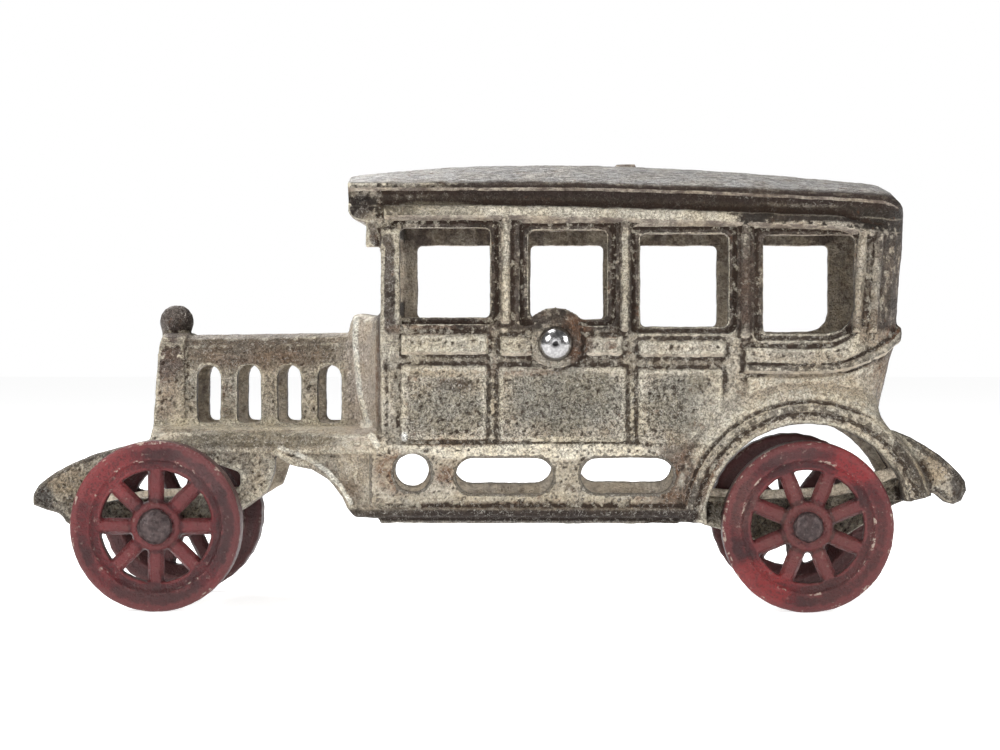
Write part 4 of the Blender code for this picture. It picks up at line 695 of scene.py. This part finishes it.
def shape_body(mesh):
    """Sharpens the mouldings, raises the cowl ridge, marks the cowl and arch ridges for chips and a painted
    highlight, adds the hood roll, rounds the pillar, and grows the horn.
    """
    places, normals, edges = surface_of(mesh)
    facing = outwards(places, normals)
    outer = smooth_share(facing, 0.15, 0.35)
    stands_out = ((places - relaxed(places, edges, 6)) * normals).sum(1)
    moulded = smooth_share(facing, 0.6, 0.9) * (1 - smooth_share(places[:, 2], *MOULDING_TOP))
    places += MOULDING_GAIN * (stands_out * moulded)[:, None] * normals

    ridge = hump(distance_to_line(places, COWL_RIDGE), 0.00055) * outer
    arch = hump(distance_to_line(places, ARCH_RIDGE), 0.00045) * outer
    # Marks the cowl and arch ridges, where chips and a painted highlight go
    write_measure(mesh, "chipped_and_lit_ridge", np.maximum(ridge, arch * 0.8))
    write_measure(mesh, "belt_roll", hump(distance_to_line(places, BELT_ROLL), 0.00090, 4) * outer)
    places += RIDGE_HEIGHT * normals * ridge[:, None]

    side = np.sign(places[:, 1])
    roll = hump(places[:, 2] - HOOD_ROLL_Z, 0.0011) * outer * span_share(places[:, 0], *HOOD_ROLL_SPAN)
    places[:, 1] += HOOD_ROLL_HEIGHT * roll * side

    across = (places[:, 0] - PILLAR_X) / PILLAR_HALF_WIDTH
    round_side = CABIN_SIDE + PILLAR_BULGE * np.sqrt(np.clip(1 - across ** 2, 0, 1))
    share = smooth_share(1.15 - abs(across), 0.0, 0.2) * smooth_share(facing, 0.0, 0.3)
    share *= span_share(places[:, 2], *PILLAR_SPAN) * (abs(places[:, 1]) > PILLAR_INNER_Y)
    places[:, 1] += share * (side * round_side - places[:, 1])
    places[:, 0] -= HORN_GROWTH * (1 - smooth_share(places[:, 0], *HORN_TIP))
    move_points(mesh, places)


def shape_wheel(mesh, axle_x):
    """Makes the rim and hub truly round, softens the joints, thickens the spokes, and stores the radius."""
    places, normals, edges = surface_of(mesh)
    radius = np.hypot(places[:, 0] - axle_x, places[:, 2] - AXLE_Z)
    turn = np.arctan2(places[:, 2] - AXLE_Z, places[:, 0] - axle_x)
    rim, hub = smooth_share(radius, *RIM_TREAD), span_share(radius, *HUB_SPAN)
    for sides, share in ((RIM_SIDES, rim), (HUB_SIDES, hub)):
        half = math.pi / sides
        growth = np.cos(turn % (2 * half) - half) / math.cos(half) - 1
        grown = (1 + growth * share)[:, None]
        places[:, [0, 2]] = (axle_x, AXLE_Z) + (places[:, [0, 2]] - (axle_x, AXLE_Z)) * grown
    write_measure(mesh, "radius", radius)
    joints = span_share(radius, *HUB_JOINT) * 0.8 + span_share(radius, *RIM_JOINT) * 0.5
    places += joints[:, None] * (relaxed(places, edges, 14) - places)
    move_points(mesh, places + SPOKE_SWELL * normals * span_share(radius, *SPOKE_SPAN)[:, None])


def hold_in_box(mesh):
    move_points(mesh, surface_of(mesh)[0])


def mark_relief(mesh, grid):
    """Stores how far each point stands above its surroundings in mm, and how it faces outwards and up."""
    places, normals, edges = surface_of(mesh)
    near = relaxed(places, edges, max(3, round((NEAR_REACH / grid) ** 2 * 2)))
    far = relaxed(near, edges, max(8, round((FAR_REACH / grid) ** 2 * 2)))
    write_measure(mesh, "near_relief", ((places - near) * normals).sum(1) * 1000)
    write_measure(mesh, "far_relief", ((near - far) * normals).sum(1) * 1000)
    write_measure(mesh, "facing", outwards(places, normals))
    write_measure(mesh, "upward", normals[:, 2])


def softened(name, mesh, grid, rounds, lumps, grain, shape):
    """A casting's surface: even faces, rounded edges, and the unevenness left by sand."""
    bm = bmesh.new()
    bm.from_mesh(mesh)
    bmesh.ops.remove_doubles(bm, verts=bm.verts, dist=0.000005)
    start = bpy.data.meshes.new(name + "_start")
    bm.to_mesh(start)
    bm.free()
    piece = bpy.data.objects.new(name, start)
    bpy.context.scene.collection.objects.link(piece)
    even = piece.modifiers.new("even_faces", "REMESH")
    even.mode = "VOXEL"
    even.voxel_size = grid
    round_off = piece.modifiers.new("rounded_edges", "SMOOTH")
    round_off.factor = 0.5
    round_off.iterations = rounds
    for label, (size, height) in (("lumps", lumps), ("grain", grain)):
        texture = bpy.data.textures.new(f"{name}_{label}", "CLOUDS")
        texture.noise_scale = size
        texture.noise_depth = 1
        rough = piece.modifiers.new(label, "DISPLACE")
        rough.texture = texture
        rough.strength = height
        rough.mid_level = 0.55
    surface = bpy.data.meshes.new_from_object(piece.evaluated_get(bpy.context.evaluated_depsgraph_get()))
    piece.modifiers.clear()
    surface.materials.clear()
    piece.data = surface
    surface.shade_smooth()
    shape(surface)
    mark_relief(surface, grid)
    return piece


def dress_body(material):
    for side in ("left", "right"):
        node = f"body_{side}"
        piece = softened(f"cast_{node}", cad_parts[node].data, BODY_GRID, 3, BODY_LUMPS, BODY_GRAIN,
                         shape_body)
        piece.data.materials.append(material)
        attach(piece, "body")
        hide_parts(node)


def dress_wheels(material):
    bodies = {"front_wheel_left": "front_left_wheel", "front_wheel_right": "front_right_wheel",
              "rear_wheel_left": "rear_left_wheel", "rear_wheel_right": "rear_right_wheel"}
    for node, body in bodies.items():
        axle_x = FRONT_AXLE_X if node.startswith("front") else REAR_AXLE_X
        piece = softened(f"cast_{node}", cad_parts[node].data, WHEEL_GRID, 5, WHEEL_LUMPS, WHEEL_GRAIN,
                         lambda mesh: shape_wheel(mesh, axle_x))
        piece.data.materials.append(material)
        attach(piece, body)
        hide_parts(node)


def dress_axles(material):
    for node in ("front_axle", "rear_axle"):
        piece = softened(f"hammered_{node}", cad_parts[node].data, WHEEL_GRID, 2, HAMMER_MARKS,
                         HAMMER_GRAIN, hold_in_box)
        piece.data.materials.append(material)
        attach(piece, node)
        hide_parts(node)


def dress_rivet(material):
    """A turned pin with a polished domed head on each side, each with the centre mark left by its punch."""
    angles = np.radians(np.linspace(0, 90, 19))
    radii = RIVET_HEAD_RADIUS * np.sin(angles)
    heights = RIVET_SEAT + RIVET_HEAD_HEIGHT * np.cos(angles) - 0.0003 * hump(radii, 0.00055)
    dome = list(zip(radii, heights))
    pin = [(RIVET_RADIUS, RIVET_SEAT), (RIVET_RADIUS, -RIVET_SEAT)]
    profile = dome + pin + [(radius, -y) for radius, y in dome[::-1]]
    bm = bmesh.new()
    line = [bm.verts.new((RIVET_X + radius, y, RIVET_Z)) for radius, y in profile]
    edges = [bm.edges.new(pair) for pair in zip(line, line[1:])]
    bmesh.ops.spin(bm, geom=line + edges, cent=(RIVET_X, 0, RIVET_Z), axis=(0, 1, 0), angle=math.tau, steps=64)
    bmesh.ops.remove_doubles(bm, verts=bm.verts, dist=0.000002)
    bmesh.ops.recalc_face_normals(bm, faces=bm.faces)
    mesh = bpy.data.meshes.new("polished_centre_rivet")
    bm.to_mesh(mesh)
    bm.free()
    mesh.shade_smooth()
    mesh.set_sharp_from_angle(angle=math.radians(50))
    mesh.materials.append(material)
    piece = bpy.data.objects.new("polished_centre_rivet", mesh)
    bpy.context.scene.collection.objects.link(piece)
    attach(piece, "body")
    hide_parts("centre_rivet")


def set_light(name, place, aim, energy, width, height):
    light = bpy.data.lights.new(name, "AREA")
    light.shape = "RECTANGLE"
    light.size = width
    light.size_y = height
    light.energy = energy
    holder = bpy.data.objects.new(name, light)
    holder.location = place
    holder.rotation_euler = (Vector(aim) - Vector(place)).to_track_quat("-Z", "Y").to_euler()
    bpy.context.scene.collection.objects.link(holder)


def set_white_world():
    """Soft even light, with a pure white background behind the object."""
    world = bpy.data.worlds.new("white_studio")
    world.use_nodes = True
    nodes, join = world.node_tree.nodes, world.node_tree.links.new
    lit = nodes["Background"]
    lit.inputs["Strength"].default_value = STUDIO_LIGHT
    seen = nodes.new("ShaderNodeBackground")
    path = nodes.new("ShaderNodeLightPath")
    choice = nodes.new("ShaderNodeMixShader")
    for background in (lit, seen):
        background.inputs["Color"].default_value = (1.0, 1.0, 1.0, 1.0)
    join(path.outputs["Is Camera Ray"], choice.inputs[0])
    join(lit.outputs[0], choice.inputs[1])
    join(seen.outputs[0], choice.inputs[2])
    join(choice.outputs[0], nodes["World Output"].inputs["Surface"])
    bpy.context.scene.world = world


def set_floor():
    sheet = bpy.data.meshes.new("white_floor")
    reach = FLOOR_REACH
    sheet.from_pydata([(-reach, -reach, 0), (reach, -reach, 0), (reach, reach, 0), (-reach, reach, 0)], [],
                      [(0, 1, 2, 3)])
    sheet.materials.append(white_paper())
    floor = bpy.data.objects.new("white_floor", sheet)
    bpy.context.scene.collection.objects.link(floor)


def set_camera():
    camera = bpy.data.cameras.new("photo_camera")
    camera.lens = PHOTO_LENS
    camera.sensor_width = 36.0
    camera.clip_start = 0.01
    holder = bpy.data.objects.new("photo_camera", camera)
    holder.location = PHOTO_PLACE
    holder.rotation_euler = [math.radians(turn) for turn in PHOTO_TURNS]
    bpy.context.scene.collection.objects.link(holder)
    bpy.context.scene.camera = holder


bpy.context.scene.view_settings.view_transform = "Standard"
set_white_world()
set_floor()
for settings in SOFT_LIGHTS:
    set_light(*settings)
set_camera()
dress_body(WornNickel().made())
dress_wheels(worn_red())
dress_axles(browned_iron())
dress_rivet(polished_steel())
